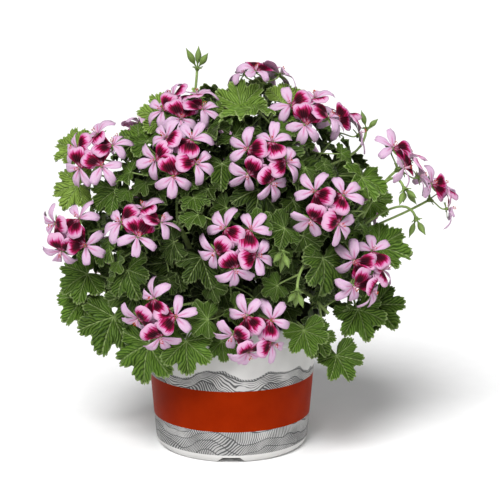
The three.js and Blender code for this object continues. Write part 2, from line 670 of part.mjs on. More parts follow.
function leafTriangles(count, ringCount) {
  const firstUpper = ringCount * 3;
  const firstLower = firstUpper + count;
  const middle = (count - 1) / 2;
  const triangles = [];
  const cornerOf = (i) => (i < middle ? 2 : 1);
  for (let i = 0; i < count - 1; i++) {
    triangles.push(0, firstUpper + i, firstUpper + i + 1);
    triangles.push(firstUpper + i, firstLower + i, firstLower + i + 1);
    triangles.push(firstUpper + i, firstLower + i + 1, firstUpper + i + 1);
    triangles.push(cornerOf(i), firstLower + i + 1, firstLower + i);
  }
  triangles.push(2, 1, firstLower + middle);
  triangles.push(0, 2, firstLower, 0, firstLower, firstUpper);
  const [lastUpper, lastLower] = [firstUpper + count - 1, firstLower + count - 1];
  triangles.push(0, lastUpper, lastLower, 0, lastLower, 1);
  for (let ring = 0; ring < ringCount - 1; ring++)
    for (let side = 0; side < 3; side++) {
      const [here, next] = [ring * 3 + side, ring * 3 + ((side + 1) % 3)];
      triangles.push(here, next, next + 3, here, next + 3, here + 3);
    }
  const last = (ringCount - 1) * 3;
  triangles.push(last, last + 1, last + 2);
  return triangles;
}

function growLeaf(frame, outward, stems) {
  const found = findKnot(frame, outward, stems);
  if (found) found.stem.parts.push(leafSolid(frame, found.curve));
  return found !== null;
}

function outwardAt(point) {
  const [x, y, z] = CROWN.middle;
  return V(point.x - x, point.y - y, point.z - z).normalize();
}

function growPlacedLeaf({ at, azimuth, rise, tip, length }, stems) {
  const face = facing(azimuth, rise);
  const top = squareTo(face, UP);
  const right = top.clone().cross(face);
  const midrib = along(top.multiplyScalar(Math.cos(radians(tip))), right, Math.sin(radians(tip)));
  const out = outwardAt(V(...at));
  for (const depth of PLACED_DEPTHS) {
    const middle = along(V(...at), out, -depth);
    if (growLeaf(leafFrame(middle, face, midrib, length), out, stems)) return;
  }
}

// One leaf of the crown: it looks outward and up, its tip hangs outward, and it is tried further in
// and turned a little until it has room
function growCrownLeaf(index, stems) {
  const height = 1 - ((1 - CROWN.lowest) * (index + 0.5)) / LEAF_TRIES;
  const level = Math.sqrt(1 - height * height);
  const around = radians(index * GOLDEN_ANGLE);
  const out = V(level * Math.cos(around), level * Math.sin(around), height);
  const length = between(...LEAF_LENGTHS);
  const swayX = between(-LEAF_SWAY.level, LEAF_SWAY.level);
  const swayY = between(-LEAF_SWAY.level, LEAF_SWAY.level);
  const sway = V(swayX, swayY, between(...LEAF_SWAY.up));
  const fall = V(Math.cos(around), Math.sin(around), between(...LEAF_FALL));
  const swing = between(-LEAF_SWING, LEAF_SWING);
  for (const depth of LEAF_DEPTHS)
    for (const extra of LEAF_TURNS) {
      const middle = V(...CROWN.middle);
      middle.x += out.x * CROWN.across[0] * depth;
      middle.y += out.y * CROWN.across[1] * depth;
      middle.z += out.z * CROWN.across[2] * depth;
      const face = out.clone().add(sway).normalize();
      const hang = squareTo(face, fall);
      const side = hang.clone().cross(face);
      const turn = radians(swing + extra);
      const midrib = along(hang.multiplyScalar(Math.cos(turn)), side, Math.sin(turn));
      if (growLeaf(leafFrame(middle, face, midrib, length), out, stems)) return;
    }
}

// Materials

function finish(color, roughness) {
  return new THREE.MeshStandardMaterial({ color, roughness, metalness: 0, flatShading: true });
}

const POT_PLASTIC = finish(0xe4e2de, 0.45);
const POTTING_MIX = finish(0x2f2218, 0.95);
const LEAF_GREEN = finish(0x55782e, 0.7);
const PETAL_PINK = finish(0xdca6d4, 0.6);

// The whole plant

const stems = STEMS.map(growStem);
const blooms = BLOOMS.map((row, index) => growBloom(row, index + 1, stems));
BUNCHES.forEach((row) => growBunch(row, stems));
PLACED_LEAVES.forEach((row) => growPlacedLeaf(row, stems));
for (let index = 0; index < LEAF_TRIES; index++) growCrownLeaf(index, stems);

function numbered(word, index) {
  return `${word}_${String(index + 1).padStart(2, "0")}`;
}

const plant = new THREE.Group();
plant.add(meshOf("pot", potSolid(), POT_PLASTIC));
plant.add(meshOf("soil", soilSolid(stems), POTTING_MIX));
stems.forEach((stem, index) => {
  plant.add(meshOf(numbered("stem", index), joined(stem.parts), LEAF_GREEN.clone()));
});
blooms.forEach((bloom, index) => {
  plant.add(meshOf(numbered("bloom", index), bloomSolid(bloom), PETAL_PINK.clone()));
});

const middle = new THREE.Box3().setFromObject(plant).getCenter(V(0, 0, 0));
plant.position.set(-middle.x, -middle.y, 0);

export default plant;
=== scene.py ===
import math
import random
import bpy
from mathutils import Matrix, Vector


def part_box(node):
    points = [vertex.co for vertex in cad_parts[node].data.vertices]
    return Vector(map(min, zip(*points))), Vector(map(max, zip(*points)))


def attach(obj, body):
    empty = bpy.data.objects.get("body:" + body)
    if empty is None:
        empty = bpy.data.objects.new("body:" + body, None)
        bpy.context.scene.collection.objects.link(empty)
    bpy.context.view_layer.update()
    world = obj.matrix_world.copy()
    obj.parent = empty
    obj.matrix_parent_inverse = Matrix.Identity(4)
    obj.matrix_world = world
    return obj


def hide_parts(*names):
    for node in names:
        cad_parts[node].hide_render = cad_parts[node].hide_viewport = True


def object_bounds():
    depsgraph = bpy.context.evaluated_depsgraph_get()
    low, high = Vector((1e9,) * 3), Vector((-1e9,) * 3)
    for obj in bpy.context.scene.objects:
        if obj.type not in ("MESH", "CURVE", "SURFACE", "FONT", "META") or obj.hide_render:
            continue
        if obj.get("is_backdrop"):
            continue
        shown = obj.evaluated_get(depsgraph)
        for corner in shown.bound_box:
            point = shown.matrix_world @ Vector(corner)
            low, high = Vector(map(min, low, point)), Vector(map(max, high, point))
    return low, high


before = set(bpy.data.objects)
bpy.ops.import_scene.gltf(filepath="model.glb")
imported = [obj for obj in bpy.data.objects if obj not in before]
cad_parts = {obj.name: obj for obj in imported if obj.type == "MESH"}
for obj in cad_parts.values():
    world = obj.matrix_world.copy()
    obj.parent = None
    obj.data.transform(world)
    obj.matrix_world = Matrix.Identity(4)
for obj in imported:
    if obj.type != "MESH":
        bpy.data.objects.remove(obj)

from types import SimpleNamespace

import bmesh
import bpy
import numpy as np
from mathutils import Vector, noise

CAD_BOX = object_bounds()
MM = 0.001
METRE = 1000
WELD = 1e-6

# The plant is worked out in millimetres about the pot's axis, with the pot's foot at height 0
POT_LOW, POT_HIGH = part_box("pot")
POT_AXIS = Vector(((POT_LOW[0] + POT_HIGH[0]) / 2, (POT_LOW[1] + POT_HIGH[1]) / 2, 0))


def in_room(point):
    """A place in millimetres about the pot's axis, as metres in the shared frame"""
    return POT_AXIS + Vector(point) * MM


def vec(x, y, z):
    return np.array((x, y, z), float)


def unit(vector):
    return vector / math.sqrt(vector.dot(vector))


def cross(a, b):
    return vec(a[1] * b[2] - a[2] * b[1], a[2] * b[0] - a[0] * b[2], a[0] * b[1] - a[1] * b[0])


def apart(a, b):
    return math.sqrt((a - b).dot(a - b))


def facing(azimuth, rise):
    """The direction that faces an azimuth at a rise above level"""
    level = math.cos(math.radians(rise))
    around = math.radians(azimuth)
    return vec(level * math.cos(around), level * math.sin(around), math.sin(math.radians(rise)))


def square_to(axis, direction):
    """A direction laid into the plane that stands square to an axis"""
    return unit(direction - axis * direction.dot(axis))


def sides_of(axis, azimuth):
    """Two directions square to an axis that faces an azimuth: a level one and one upward"""
    around = math.radians(azimuth)
    side = square_to(axis, vec(-math.sin(around), math.cos(around), 0))
    return side, cross(axis, side)


def swung(first, second, turn):
    """A direction swung by a turn from the first towards the second"""
    return first * math.cos(turn) + second * math.sin(turn)


def bend(*knots):
    """A smooth curve from the first knot to the last, drawn towards those between"""
    knots = np.array(knots)

    def curve(share):
        points = knots
        while len(points) > 1:
            points = points[:-1] + (points[1:] - points[:-1]) * share
        return points[0]

    return curve


def heading(curve, share):
    return unit(curve(min(share + 0.0001, 1)) - curve(max(share - 0.0001, 0)))


def spots(curve, start, end, steps):
    return np.array([curve(start + (end - start) * i / steps) for i in range(steps + 1)])


UP = vec(0, 0, 1)

# How a stem rises from the soil and bends to its tip, and where its side shoot leaves it
STEM_FOOT_HEIGHT = 106
STEM_KNEE = 0.62
STEM_LEAN = 0.42
SHOOT_START = 0.5
SHOOT_BEND = 0.45

# Where each stem stands in the soil, its tip, and the end of its side shoot
STEMS = (
    ((-46, -12), (-98, -34, 250), (-122, -30, 178)),
    ((-20, 4), (-40, 2, 296), (-78, 24, 300)),
    ((10, 24), (26, 26, 312), (34, 78, 292)),
    ((-28, -36), (-52, -66, 248), (-86, -78, 176)),
    ((6, -40), (18, -74, 238), (0, -104, 196)),
    ((32, -8), (74, -20, 292), (104, 22, 286)),
    ((36, -44), (78, -78, 214), (100, -84, 162)),
    ((-12, -64), (-20, -84, 172), (44, -100, 160)),
    ((64, -2), (120, -8, 222), (130, -34, 168)),
    ((-40, 32), (-84, 60, 236), (-124, 54, 176)),
    ((-6, 58), (-10, 94, 230), (-24, 126, 174)),
    ((42, 42), (92, 70, 214), (112, 84, 162)),
)

# The flower heads: stem, share of the stem where the stalk leaves, middle, azimuth, rise, florets
BLOOMS = (
    (1, 0.98, (-144, -55, 329), -118, 38, 5),
    (2, 0.92, (-50, -34, 377), -100, 60, 5),
    (3, 0.98, (33, 22, 405), 70, 78, 4),
    (4, 0.98, (-54, -108, 332), -95, 26, 5),
    (1, 0.8, (-168, -66, 240), -112, 6, 4),
    (4, 0.84, (-89, -118, 269), -100, 56, 4),
    (5, 0.98, (36, -115, 324), -82, 12, 5),
    (6, 0.98, (82, -44, 370), -78, 50, 4),
    (6, 0.86, (123, -2, 352), -20, 52, 3),
    (7, 0.98, (96, -130, 280), -86, 8, 4),
    (5, 0.84, (6, -150, 244), -94, 4, 5),
    (8, 0.9, (-75, -135, 168), -108, -4, 4),
    (8, 0.98, (25, -142, 152), -84, -12, 5),
    (7, 0.8, (144, -98, 208), -52, 2, 5),
    (9, 0.98, (187, -30, 315), -18, 42, 4),
    (9, 0.9, (228, 12, 273), -20, 32, 3),
    (10, 0.98, (-108, 76, 330), 132, 40, 4),
    (11, 0.98, (-30, 132, 316), 102, 24, 4),
    (3, 0.86, (68, 112, 332), 62, 36, 4),
    (12, 0.98, (150, 84, 244), 32, 12, 4),
    (11, 0.84, (22, 158, 232), 84, 4, 4),
    (10, 0.86, (-112, 124, 236), 132, 8, 4),
    (10, 0.7, (-158, 84, 184), 152, -2, 3),
)
STALK_START = 0.3
STALK_END = 0.4
HUB_RADIUS = 3
HUB_DEPTH = 20
HUB_GAP = 0.35
HEAD_SPREAD = 30
HEAD_SPREAD_PER_FLORET = 6
HEAD_TURN = 31
FLORET_OUTWARD = 0.42
FLORET_TWIST = math.radians(20)
PEDICEL_LENGTH = 27
THROAT = 4
CALYX_DEPTH = 7.5

# Half of the outline that a floret and a leaf keep free: angle, reach and lift
FLORET_EDGE = ((0, 19, -0.5), (51, 21, 0), (82, 5.5, -2.5), (105, 20.5, 0),
               (128, 21, -1), (150, 5, -3), (168, 22, -1.5))
LEAF_EDGE = ((0, 1, -0.14), (25, 0.6, 0.06), (49, 0.95, -0.1),
             (73, 0.54, 0.06), (98, 0.8, -0.08), (138, 0.44, 0.04))
BLADE_MIDDLE = 0.45
PETIOLE_REACH = (16, 96)
PETIOLE_BACK = 0.3
PETIOLE_BELOW = 0.24
KNOT_INWARD = 34
KNOT_BELOW = 16
KNOTS_TRIED = 14

# The leaves placed one by one: middle, azimuth, rise, turn of the tip from up, length
PLACED_LEAVES = (
    ((-80, 4, 374), -92, 40, -25, 34),
    ((-120, -6, 346), -105, 45, -70, 30),
    ((-172, 4, 322), -120, 40, -80, 28),
    ((-172, -22, 282), -110, 35, -105, 32),
    ((-134, -58, 280), -105, 40, -130, 30),
    ((-166, -22, 182), -112, 34, -125, 36),
    ((-168, -8, 148), -115, 24, -145, 36),
    ((-130, -50, 132), -104, 26, -165, 42),
    ((-88, -94, 114), -114, 18, -172, 42),
    ((-44, -118, 126), -98, 16, 176, 34),
    ((-8, -114, 126), -86, 14, 172, 22),
    ((78, -106, 138), -80, 24, 165, 28),
    ((96, -94, 128), -66, 26, 150, 26),
    ((116, -78, 104), -70, 30, 158, 30),
    ((138, -52, 144), -78, 30, 165, 34),
    ((162, -28, 146), -84, 34, 142, 34),
    ((176, -6, 182), -76, 40, 118, 30),
    ((170, -30, 216), -78, 50, 110, 36),
    ((158, 2, 266), -84, 30, 84, 26),
    ((138, 6, 302), -84, 34, 76, 34),
    ((66, 8, 378), -80, 42, 62, 28),
    ((8, 2, 382), -92, 38, -12, 34),
    ((-16, 34, 372), -60, 60, 20, 30),
    ((40, -108, 214), -80, 26, 172, 30),
    ((60, -110, 184), -72, 20, 152, 28),
    ((-64, -94, 206), -108, 24, -150, 34),
    ((-104, -80, 168), -122, 14, -160, 34),
    ((104, -62, 236), -66, 30, 120, 32),
)
PLACED_DEPTHS = (0, 6, 12, 18, 25, 32)

# The crown, and the large leaves that are spread over it
CROWN_MIDDLE = vec(4, 0, 232)
CROWN_ACROSS = vec(170, 162, 150)
CROWN_LOWEST = -0.72
GOLDEN_ANGLE = 137.508
LEAF_TRIES = 75
LEAF_LENGTHS = (31, 43)
LEAF_SWAY = 0.4
LEAF_SWAY_UP = (0.2, 0.75)
LEAF_FALL = (-0.9, -0.1)
LEAF_SWING = 50
LEAF_TURNS = (0, 40, -40)
LEAF_DEPTHS = (1, 0.95, 0.9, 0.84, 0.78, 0.7)

# The bunches of buds: stem, share of the stem, knot, azimuth, rise, spread, buds, size
BUNCHES = (
    (2, 0.98, (-36, 20, 402), -20, 86, 34, 3, 1.02),
    (6, 0.92, (144, 28, 337), 70, 76, 44, 2, 0.75),
    (9, 0.94, (177, -62, 288), -40, -62, 42, 4, 0.75),
    (9, 0.86, (193, -30, 251), -30, -70, 38, 3, 0.8),
    (7, 0.9, (66, -142, 200), -90, -58, 40, 3, 0.8),
    (5, 0.92, (52, -136, 238), -90, -50, 38, 3, 0.8),
)
BUD_LENGTH = 17
BUD_LENGTHS = (0.8, 1.1)
BUD_TIP = 1.6
BUNCH_TURN = 20
FIRST_BUD_SPREAD = 0.45

# The small leaves inside the crown, and the low ones that close it over the pot
SPRIG_SEED = 4111
SPRIG_TRIES = 1900
SPRIG_LOWEST = -0.8
SPRIG_DRIFT = 8
SPRIG_DEPTHS = (0.42, 0.93)
SPRIG_LENGTHS = (16, 30)
SPRIG_SWAY = 0.6
SPRIG_SWAY_UP = (0.1, 0.8)
SPRIG_FALL = (-1.2, 0.6)
SPRIG_SWING = 70
SPRIG_REACH = (9, 70)
SPRIG_BACK = 8
SPRIG_KNOTS_TRIED = 6
SPRIG_EASE = 0.42
SPRIG_STALK_EASE = 0.3
LOW_SPRIG_TRIES = 420
LOW_SPRIG_HEIGHTS = (140, 190)
LOW_SPRIG_REACH = (30, 125)

# Where a curve carries leaves or keeps others away: its first and last share, and the steps
STEM_KNOTS = (0.4, 0.98, 12)
SHOOT_KNOTS = (0.2, 0.97, 8)
STEM_SPOTS = (0.25, 1, 40)
SHOOT_SPOTS = (0, 1, 24)
STALK_SPOTS = (0.1, 1, 24)
PEDICEL_SPOTS = (0, 1, 5)
BUD_SPOTS = (0, 1, 6)
PETIOLE_SPOTS = (0.06, 0.92, 22)
SPRIG_WOOD_KNOTS = (0.2, 1, 30)
SPRIG_STALK_KNOTS = (0.05, 0.75, 14)
SPRIG_PETIOLE_SPOTS = (0.1, 0.88, 12)

# How far apart the growing parts keep, and the height and reach that the pot keeps free
CLEAR_BLADES = 5.6
CLEAR_WOOD = 4.8
POT_ROOM = (146, 99)
SPRIG_POT_ROOM = (134, 84)
LEAF_SHARES = (0.2, 0.4, 0.6, 0.8, 1)
FLORET_SHARES = (0.3, 0.65, 1)


class Draws:
    """The same run of chance numbers every time"""

    SEED, FACTOR, SHIFT, RANGE = 7919, 1664525, 1013904223, 4294967296

    def __init__(self):
        self.state = self.SEED

    def between(self, low, high):
        self.state = (self.state * self.FACTOR + self.SHIFT) % self.RANGE
        return low + (high - low) * self.state / self.RANGE


class Room:
    """What has grown so far, so that a new leaf finds its place"""

    MOST_POINTS = 160000

    def __init__(self):
        self.points = np.zeros((self.MOST_POINTS, 3))
        self.stems = np.zeros(self.MOST_POINTS, int)
        self.wood = np.zeros(self.MOST_POINTS, bool)
        self.count = 0

    def remember(self, points, stem, wood=False):
        end = self.count + len(points)
        self.points[self.count:end] = points
        self.stems[self.count:end] = stem
        self.wood[self.count:end] = wood
        self.count = end

    def crowded(self, points, petiole_of=None, ease=1.0):
        """Whether a blade comes too near to the pot or to what has grown, or a petiole, which may
        touch the wood of its own stem"""
        height, level = points[:, 2], np.hypot(points[:, 0], points[:, 1])
        potted = (height < POT_ROOM[0]) & (level < POT_ROOM[1])
        if ease < 1:
            potted &= (height < SPRIG_POT_ROOM[0]) | (level > SPRIG_POT_ROOM[1])
        if potted.any():
            return True
        grown, wood = self.points[:self.count], self.wood[:self.count]
        low, high = points.min(axis=0) - CLEAR_BLADES, points.max(axis=0) + CLEAR_BLADES
        near = np.all((grown > low) & (grown < high), axis=1)
        if petiole_of is not None:
            near &= ~(wood & (self.stems[:self.count] == petiole_of))
        if not near.any():
            return False
        clear = CLEAR_WOOD if petiole_of is not None else np.where(wood[near], CLEAR_WOOD, CLEAR_BLADES)
        gaps = np.linalg.norm(points[:, None, :] - grown[near][None, :, :], axis=2)
        return bool(np.any(gaps < clear * ease))


def blade_points(stand, half, size, shares):
    """Points all over a blade: on rays from its place to its rim, at shares of their length"""
    whole = half[::-1] + tuple((-angle, reach, lift) for angle, reach, lift in half if angle > 0)
    rim = []
    for angle, reach, lift in whole:
        x = reach * size * math.sin(math.radians(angle))
        y = reach * size * math.cos(math.radians(angle))
        rim.append(stand.place + stand.right * x + stand.inward * y + stand.face * (lift * size))
    rim = np.array(rim)
    rays = np.concatenate((rim, (rim[1:] + rim[:-1]) / 2))
    return np.concatenate([stand.place + (rays - stand.place) * share for share in shares])


def leaf_at(middle, face, midrib, length, depth, small=False):
    return SimpleNamespace(place=middle - midrib * (length * BLADE_MIDDLE), face=face, inward=midrib,
                           right=cross(midrib, face), length=length, depth=depth, small=small)


def crown_way(number, tries, lowest, drift=0.0):
    """The azimuth and direction of one of many places that are spread evenly over the crown"""
    height = max(1 - (1 - lowest) * (number + 0.5) / tries, lowest)
    level = math.sqrt(1 - height * height)
    around = math.radians(number * GOLDEN_ANGLE + drift)
    return around, vec(level * math.cos(around), level * math.sin(around), height)


def hung(outward, sway, around, fall, swing):
    """The face and midrib of a blade that faces outward and lets its tip hang"""
    face = unit(outward + sway)
    hang = square_to(face, vec(math.cos(around), math.sin(around), fall))
    return face, swung(hang, cross(hang, face), math.radians(swing))


class Plant:
    """The whole plant, laid out: stems with their leaves and buds, and the flower heads"""

    def __init__(self):
        self.draws = Draws()
        self.room = Room()
        self.stems = [self.grow_stem(number, *row) for number, row in enumerate(STEMS, 1)]
        self.blooms = [self.grow_bloom(number, *row) for number, row in enumerate(BLOOMS, 1)]
        for row in BUNCHES:
            self.grow_bunch(*row)
        for row in PLACED_LEAVES:
            self.grow_placed_leaf(*row)
        for number in range(LEAF_TRIES):
            self.grow_crown_leaf(number)
        self.grow_sprigs()

    def grow_stem(self, number, foot, tip, shoot):
        start, end, side = vec(*foot, STEM_FOOT_HEIGHT), vec(*tip), vec(*shoot)
        knee = start + UP * ((end[2] - start[2]) * STEM_KNEE)
        curve = bend(start, knee, end + (knee - end) * STEM_LEAN, end)
        fork = curve(SHOOT_START)
        turn = fork + heading(curve, SHOOT_START) * (apart(fork, side) * SHOOT_BEND)
        branch = bend(fork, turn, side)
        self.room.remember(spots(curve, *STEM_SPOTS), number, wood=True)
        self.room.remember(spots(branch, *SHOOT_SPOTS), number, wood=True)
        return SimpleNamespace(number=number, curve=curve, branch=branch, stalks=[], leaves=[], bunches=[],
                               knots=[*spots(curve, *STEM_KNOTS), *spots(branch, *SHOOT_KNOTS)])

    def grow_stalk(self, stem, share, end, axis):
        start = stem.curve(share)
        reach = apart(start, end)
        first = start + heading(stem.curve, share) * (reach * STALK_START)
        curve = bend(start, first, end - axis * (reach * STALK_END), end)
        stem.stalks.append(curve)
        self.room.remember(spots(curve, *STALK_SPOTS), stem.number, wood=True)

    def grow_bloom(self, number, stem_number, share, at, azimuth, rise, count):
        axis = facing(azimuth, rise)
        side, top = sides_of(axis, azimuth)
        hub = vec(*at) - axis * HUB_DEPTH
        self.grow_stalk(self.stems[stem_number - 1], share, hub - axis * (HUB_RADIUS + HUB_GAP), axis)
        spread = math.radians(HEAD_SPREAD + HEAD_SPREAD_PER_FLORET * count)
        florets = []
        for i in range(count):
            round_ = swung(side, top, math.radians(i * 360 / count + number * HEAD_TURN))
            out = swung(axis, round_, spread)
            level = unit(axis + (out - axis) * FLORET_OUTWARD)
            inward = square_to(level, axis)
            face = swung(level, cross(inward, level), FLORET_TWIST)
            floret = SimpleNamespace(place=hub + out * PEDICEL_LENGTH, right=cross(inward, face),
                                     inward=inward, face=face, out=out)
            florets.append(floret)
            self.room.remember(blade_points(floret, FLORET_EDGE, 1, FLORET_SHARES), -number)
            self.room.remember(spots(bend(hub, floret.place), *PEDICEL_SPOTS), -number)
        return SimpleNamespace(number=number, hub=hub, axis=axis, florets=florets)

    def grow_bunch(self, stem_number, share, at, azimuth, rise, spread, count, size):
        axis, knot = facing(azimuth, rise), vec(*at)
        side, top = sides_of(axis, azimuth)
        stem = self.stems[stem_number - 1]
        self.grow_stalk(stem, share, knot, axis)
        buds = []
        for i in range(count):
            round_ = swung(side, top, math.radians(i * 360 / count + BUNCH_TURN))
            lean = math.radians(spread * (FIRST_BUD_SPREAD if i == 0 else 1))
            length = BUD_LENGTH * size * self.draws.between(*BUD_LENGTHS)
            buds.append(bend(knot, knot + unit(swung(axis, round_, lean)) * (length * BUD_TIP)))
            self.room.remember(spots(buds[-1], *BUD_SPOTS), stem_number)
        stem.bunches.append(SimpleNamespace(knot=knot, axis=axis, side=side, top=top, buds=buds, size=size))

    def join_leaf(self, leaf, blade, stem, knot, petiole_spots, ease=1.0):
        """Joins a leaf to a knot of a stem by its petiole, if that finds room"""
        reach = apart(knot, leaf.place)
        behind = leaf.place - leaf.inward * (reach * PETIOLE_BACK)
        petiole = bend(knot, behind - leaf.face * (reach * PETIOLE_BELOW), leaf.place)
        taken = spots(petiole, *petiole_spots)
        if self.room.crowded(taken, stem.number, ease):
            return False
        self.room.remember(blade, stem.number)
        self.room.remember(taken, stem.number)
        leaf.petiole = petiole
        stem.leaves.append(leaf)
        return True

    def grow_leaf(self, middle, face, midrib, length, outward):
        """Grows a large leaf on a free knot near it, if its blade and its petiole find room"""
        depth = float(np.linalg.norm((middle - CROWN_MIDDLE) / CROWN_ACROSS))
        leaf = leaf_at(middle, face, midrib, length, depth)
        blade = blade_points(leaf, LEAF_EDGE, length, LEAF_SHARES)
        if self.room.crowded(blade):
            return False
        target = leaf.place - outward * KNOT_INWARD - UP * KNOT_BELOW
        choices = [(apart(knot, target), stem, knot) for stem in self.stems for knot in stem.knots
                   if PETIOLE_REACH[0] < apart(knot, leaf.place) < PETIOLE_REACH[1]]
        for _, stem, knot in sorted(choices, key=lambda choice: choice[0])[:KNOTS_TRIED]:
            if self.join_leaf(leaf, blade, stem, knot, PETIOLE_SPOTS):
                stem.knots = [other for other in stem.knots if other is not knot]
                return True
        return False

    def grow_placed_leaf(self, at, azimuth, rise, tip, length):
        face = facing(azimuth, rise)
        top = square_to(face, UP)
        midrib = swung(top, cross(top, face), math.radians(tip))
        out = unit(vec(*at) - CROWN_MIDDLE)
        for depth in PLACED_DEPTHS:
            if self.grow_leaf(vec(*at) - out * depth, face, midrib, length, out):
                return

    def grow_crown_leaf(self, number):
        around, out = crown_way(number, LEAF_TRIES, CROWN_LOWEST)
        between = self.draws.between
        length = between(*LEAF_LENGTHS)
        sway = vec(between(-LEAF_SWAY, LEAF_SWAY), between(-LEAF_SWAY, LEAF_SWAY), between(*LEAF_SWAY_UP))
        fall = between(*LEAF_FALL)
        swing = between(-LEAF_SWING, LEAF_SWING)
        for depth in LEAF_DEPTHS:
            for extra in LEAF_TURNS:
                face, midrib = hung(out, sway, around, fall, swing + extra)
                if self.grow_leaf(CROWN_MIDDLE + out * CROWN_ACROSS * depth, face, midrib, length, out):
                    return

    def grow_sprigs(self):
        """Fills the dim gaps between the large leaves with smaller ones on the nearest wood"""
        between = random.Random(SPRIG_SEED).uniform
        knots = []
        for stem in self.stems:
            for curve in (stem.curve, stem.branch):
                knots += [(stem, knot) for knot in spots(curve, *SPRIG_WOOD_KNOTS)]
            for curve in stem.stalks:
                knots += [(stem, knot) for knot in spots(curve, *SPRIG_STALK_KNOTS)]
        places = np.array([knot for _, knot in knots])
        for number in range(SPRIG_TRIES + LOW_SPRIG_TRIES):
            around, out = crown_way(number, SPRIG_TRIES, SPRIG_LOWEST, between(-SPRIG_DRIFT, SPRIG_DRIFT))
            depth = between(*SPRIG_DEPTHS)
            middle = CROWN_MIDDLE + out * CROWN_ACROSS * depth
            if number >= SPRIG_TRIES:
                reach = between(*LOW_SPRIG_REACH)
                out = vec(math.cos(around), math.sin(around), 0)
                middle = out * reach + UP * between(*LOW_SPRIG_HEIGHTS)
                depth = reach / LOW_SPRIG_REACH[1]
            sway = vec(between(-SPRIG_SWAY, SPRIG_SWAY), between(-SPRIG_SWAY, SPRIG_SWAY),
                       between(*SPRIG_SWAY_UP))
            fall = between(*SPRIG_FALL)
            face, midrib = hung(out, sway, around, fall, between(-SPRIG_SWING, SPRIG_SWING))
            leaf = leaf_at(middle, face, midrib, between(*SPRIG_LENGTHS), depth, small=True)
            blade = blade_points(leaf, LEAF_EDGE, leaf.length, LEAF_SHARES)
            if self.room.crowded(blade, ease=SPRIG_EASE):
                continue
            reach = np.linalg.norm(places - (leaf.place - face * SPRIG_BACK - midrib * SPRIG_BACK), axis=1)
            for choice in np.argsort(reach)[:SPRIG_KNOTS_TRIED]:
                if SPRIG_REACH[0] < reach[choice] < SPRIG_REACH[1] and self.join_leaf(
                        leaf, blade, *knots[choice], SPRIG_PETIOLE_SPOTS, SPRIG_STALK_EASE):
                    break


def linked(name, body, *finishes):
    """A new object in its finishes, from a mesh under work"""
    mesh = bpy.data.meshes.new(name)
    body.to_mesh(mesh)
    body.free()
    for finish in finishes:
        mesh.materials.append(finish)
    thing = bpy.data.objects.new(name, mesh)
    bpy.context.scene.collection.objects.link(thing)
    return thing


def stand_for(thing, node, slot):
    """Lets a piece ride in its node's place"""
    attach(thing, "root")
    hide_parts(node)


class Piece:
    """One mesh under work, laid patch by patch"""

    def __init__(self, node, part, slot, *finishes):
        self.name = node + "_" + part
        self.node = node
        self.slot = slot
        self.finishes = finishes
        self.body = bmesh.new()
        self.plan = self.body.loops.layers.uv.new("UVMap")
        self.tint = self.body.verts.layers.float.new("tint")

    def lay(self, columns, rows, place, finish=0, tint=0.5, plan=None):
        """A sheet of quads, put where place says for each share across and along"""
        patch = bmesh.ops.create_grid(self.body, x_segments=columns, y_segments=rows, size=0.5)
        shares = {}
        for vert in patch["verts"]:
            across, along = vert.co.x + 0.5, vert.co.y + 0.5
            shares[vert] = plan(across, along) if plan else (across, along)
            vert[self.tint] = tint
            vert.co = in_room(place(across, along))
        for vert in patch["verts"]:
            for loop in vert.link_loops:
                loop[self.plan].uv = shares[vert]
                loop.face.material_index = finish
                loop.face.smooth = True

    def done(self, thickness=0.0):
        """The finished piece with its seams closed. Where its sheets get a thickness, the second half
        of its finishes is for their backs"""
        bmesh.ops.remove_doubles(self.body, verts=self.body.verts, dist=WELD)
        thing = linked(self.name, self.body, *self.finishes)
        if thickness:
            skin = thing.modifiers.new("thickness", "SOLIDIFY")
            skin.thickness = thickness * MM
            skin.offset = -1
            skin.use_even_offset = False
            skin.material_offset = len(self.finishes) // 2
        stand_for(thing, self.node, self.slot)


# The places of the finishes in the pieces that carry them
WOOD_GREEN, BUD_GREEN, FILAMENT, POLLEN = 0, 1, 2, 3
BLADE, LEAF_BRACT = 0, 1
BROAD, NARROW, SEPAL = 0, 1, 2


def round_form(radii, sides, steps, finish, tint=0.5, ribs=0.0):
    """A round part: its radii from foot to tip, its quads round and along, its finish and its ribs' depth"""
    return SimpleNamespace(radii=radii, sides=sides, steps=steps, finish=finish, tint=tint, ribs=ribs)


STEM_FORM = round_form((3.6, 3.5, 3.3, 3.1, 2.6), 10, 18, WOOD_GREEN, 0.1)
SHOOT_FORM = round_form((2.7, 2.4, 2.1, 1.8), 9, 14, WOOD_GREEN, 0.3)
STALK_FORM = round_form((1.7, 1.4, 1.3, 1.4), 8, 16, WOOD_GREEN, 0.7)
PETIOLE_FORM = round_form((1.5, 1.1, 0.95, 1.1), 6, 10, WOOD_GREEN, 0.6)
KNOB_FORM = round_form((1.2, 2.2, 2.5, 2.2, 0.8), 9, 6, BUD_GREEN, 0.6)
BUD_FORM = round_form((0.9, 0.75, 0.75, 0.9, 1.7, 2.7, 3.2, 3.4, 3.3, 2.8, 2.1, 1.3, 0.6, 0.15), 10, 13,
                      BUD_GREEN, ribs=0.07)
HUB_FORM = round_form((1.5, 2.5, 3, 2.6, 1), 9, 6, BUD_GREEN)
PEDICEL_FORM = round_form((0.9, 0.75, 0.75, 1.0), 6, 10, WOOD_GREEN)
CALYX_FORM = round_form((1.0, 1.6, 1.9, 1.5), 8, 4, BUD_GREEN)
FILAMENT_FORM = round_form((0.3, 0.22), 4, 3, FILAMENT)
POLLEN_FORM = round_form((0.2, 0.6, 0.55, 0.2), 5, 3, POLLEN)
BUD_RIBS = 5
SPRIG_PETIOLE = 0.72


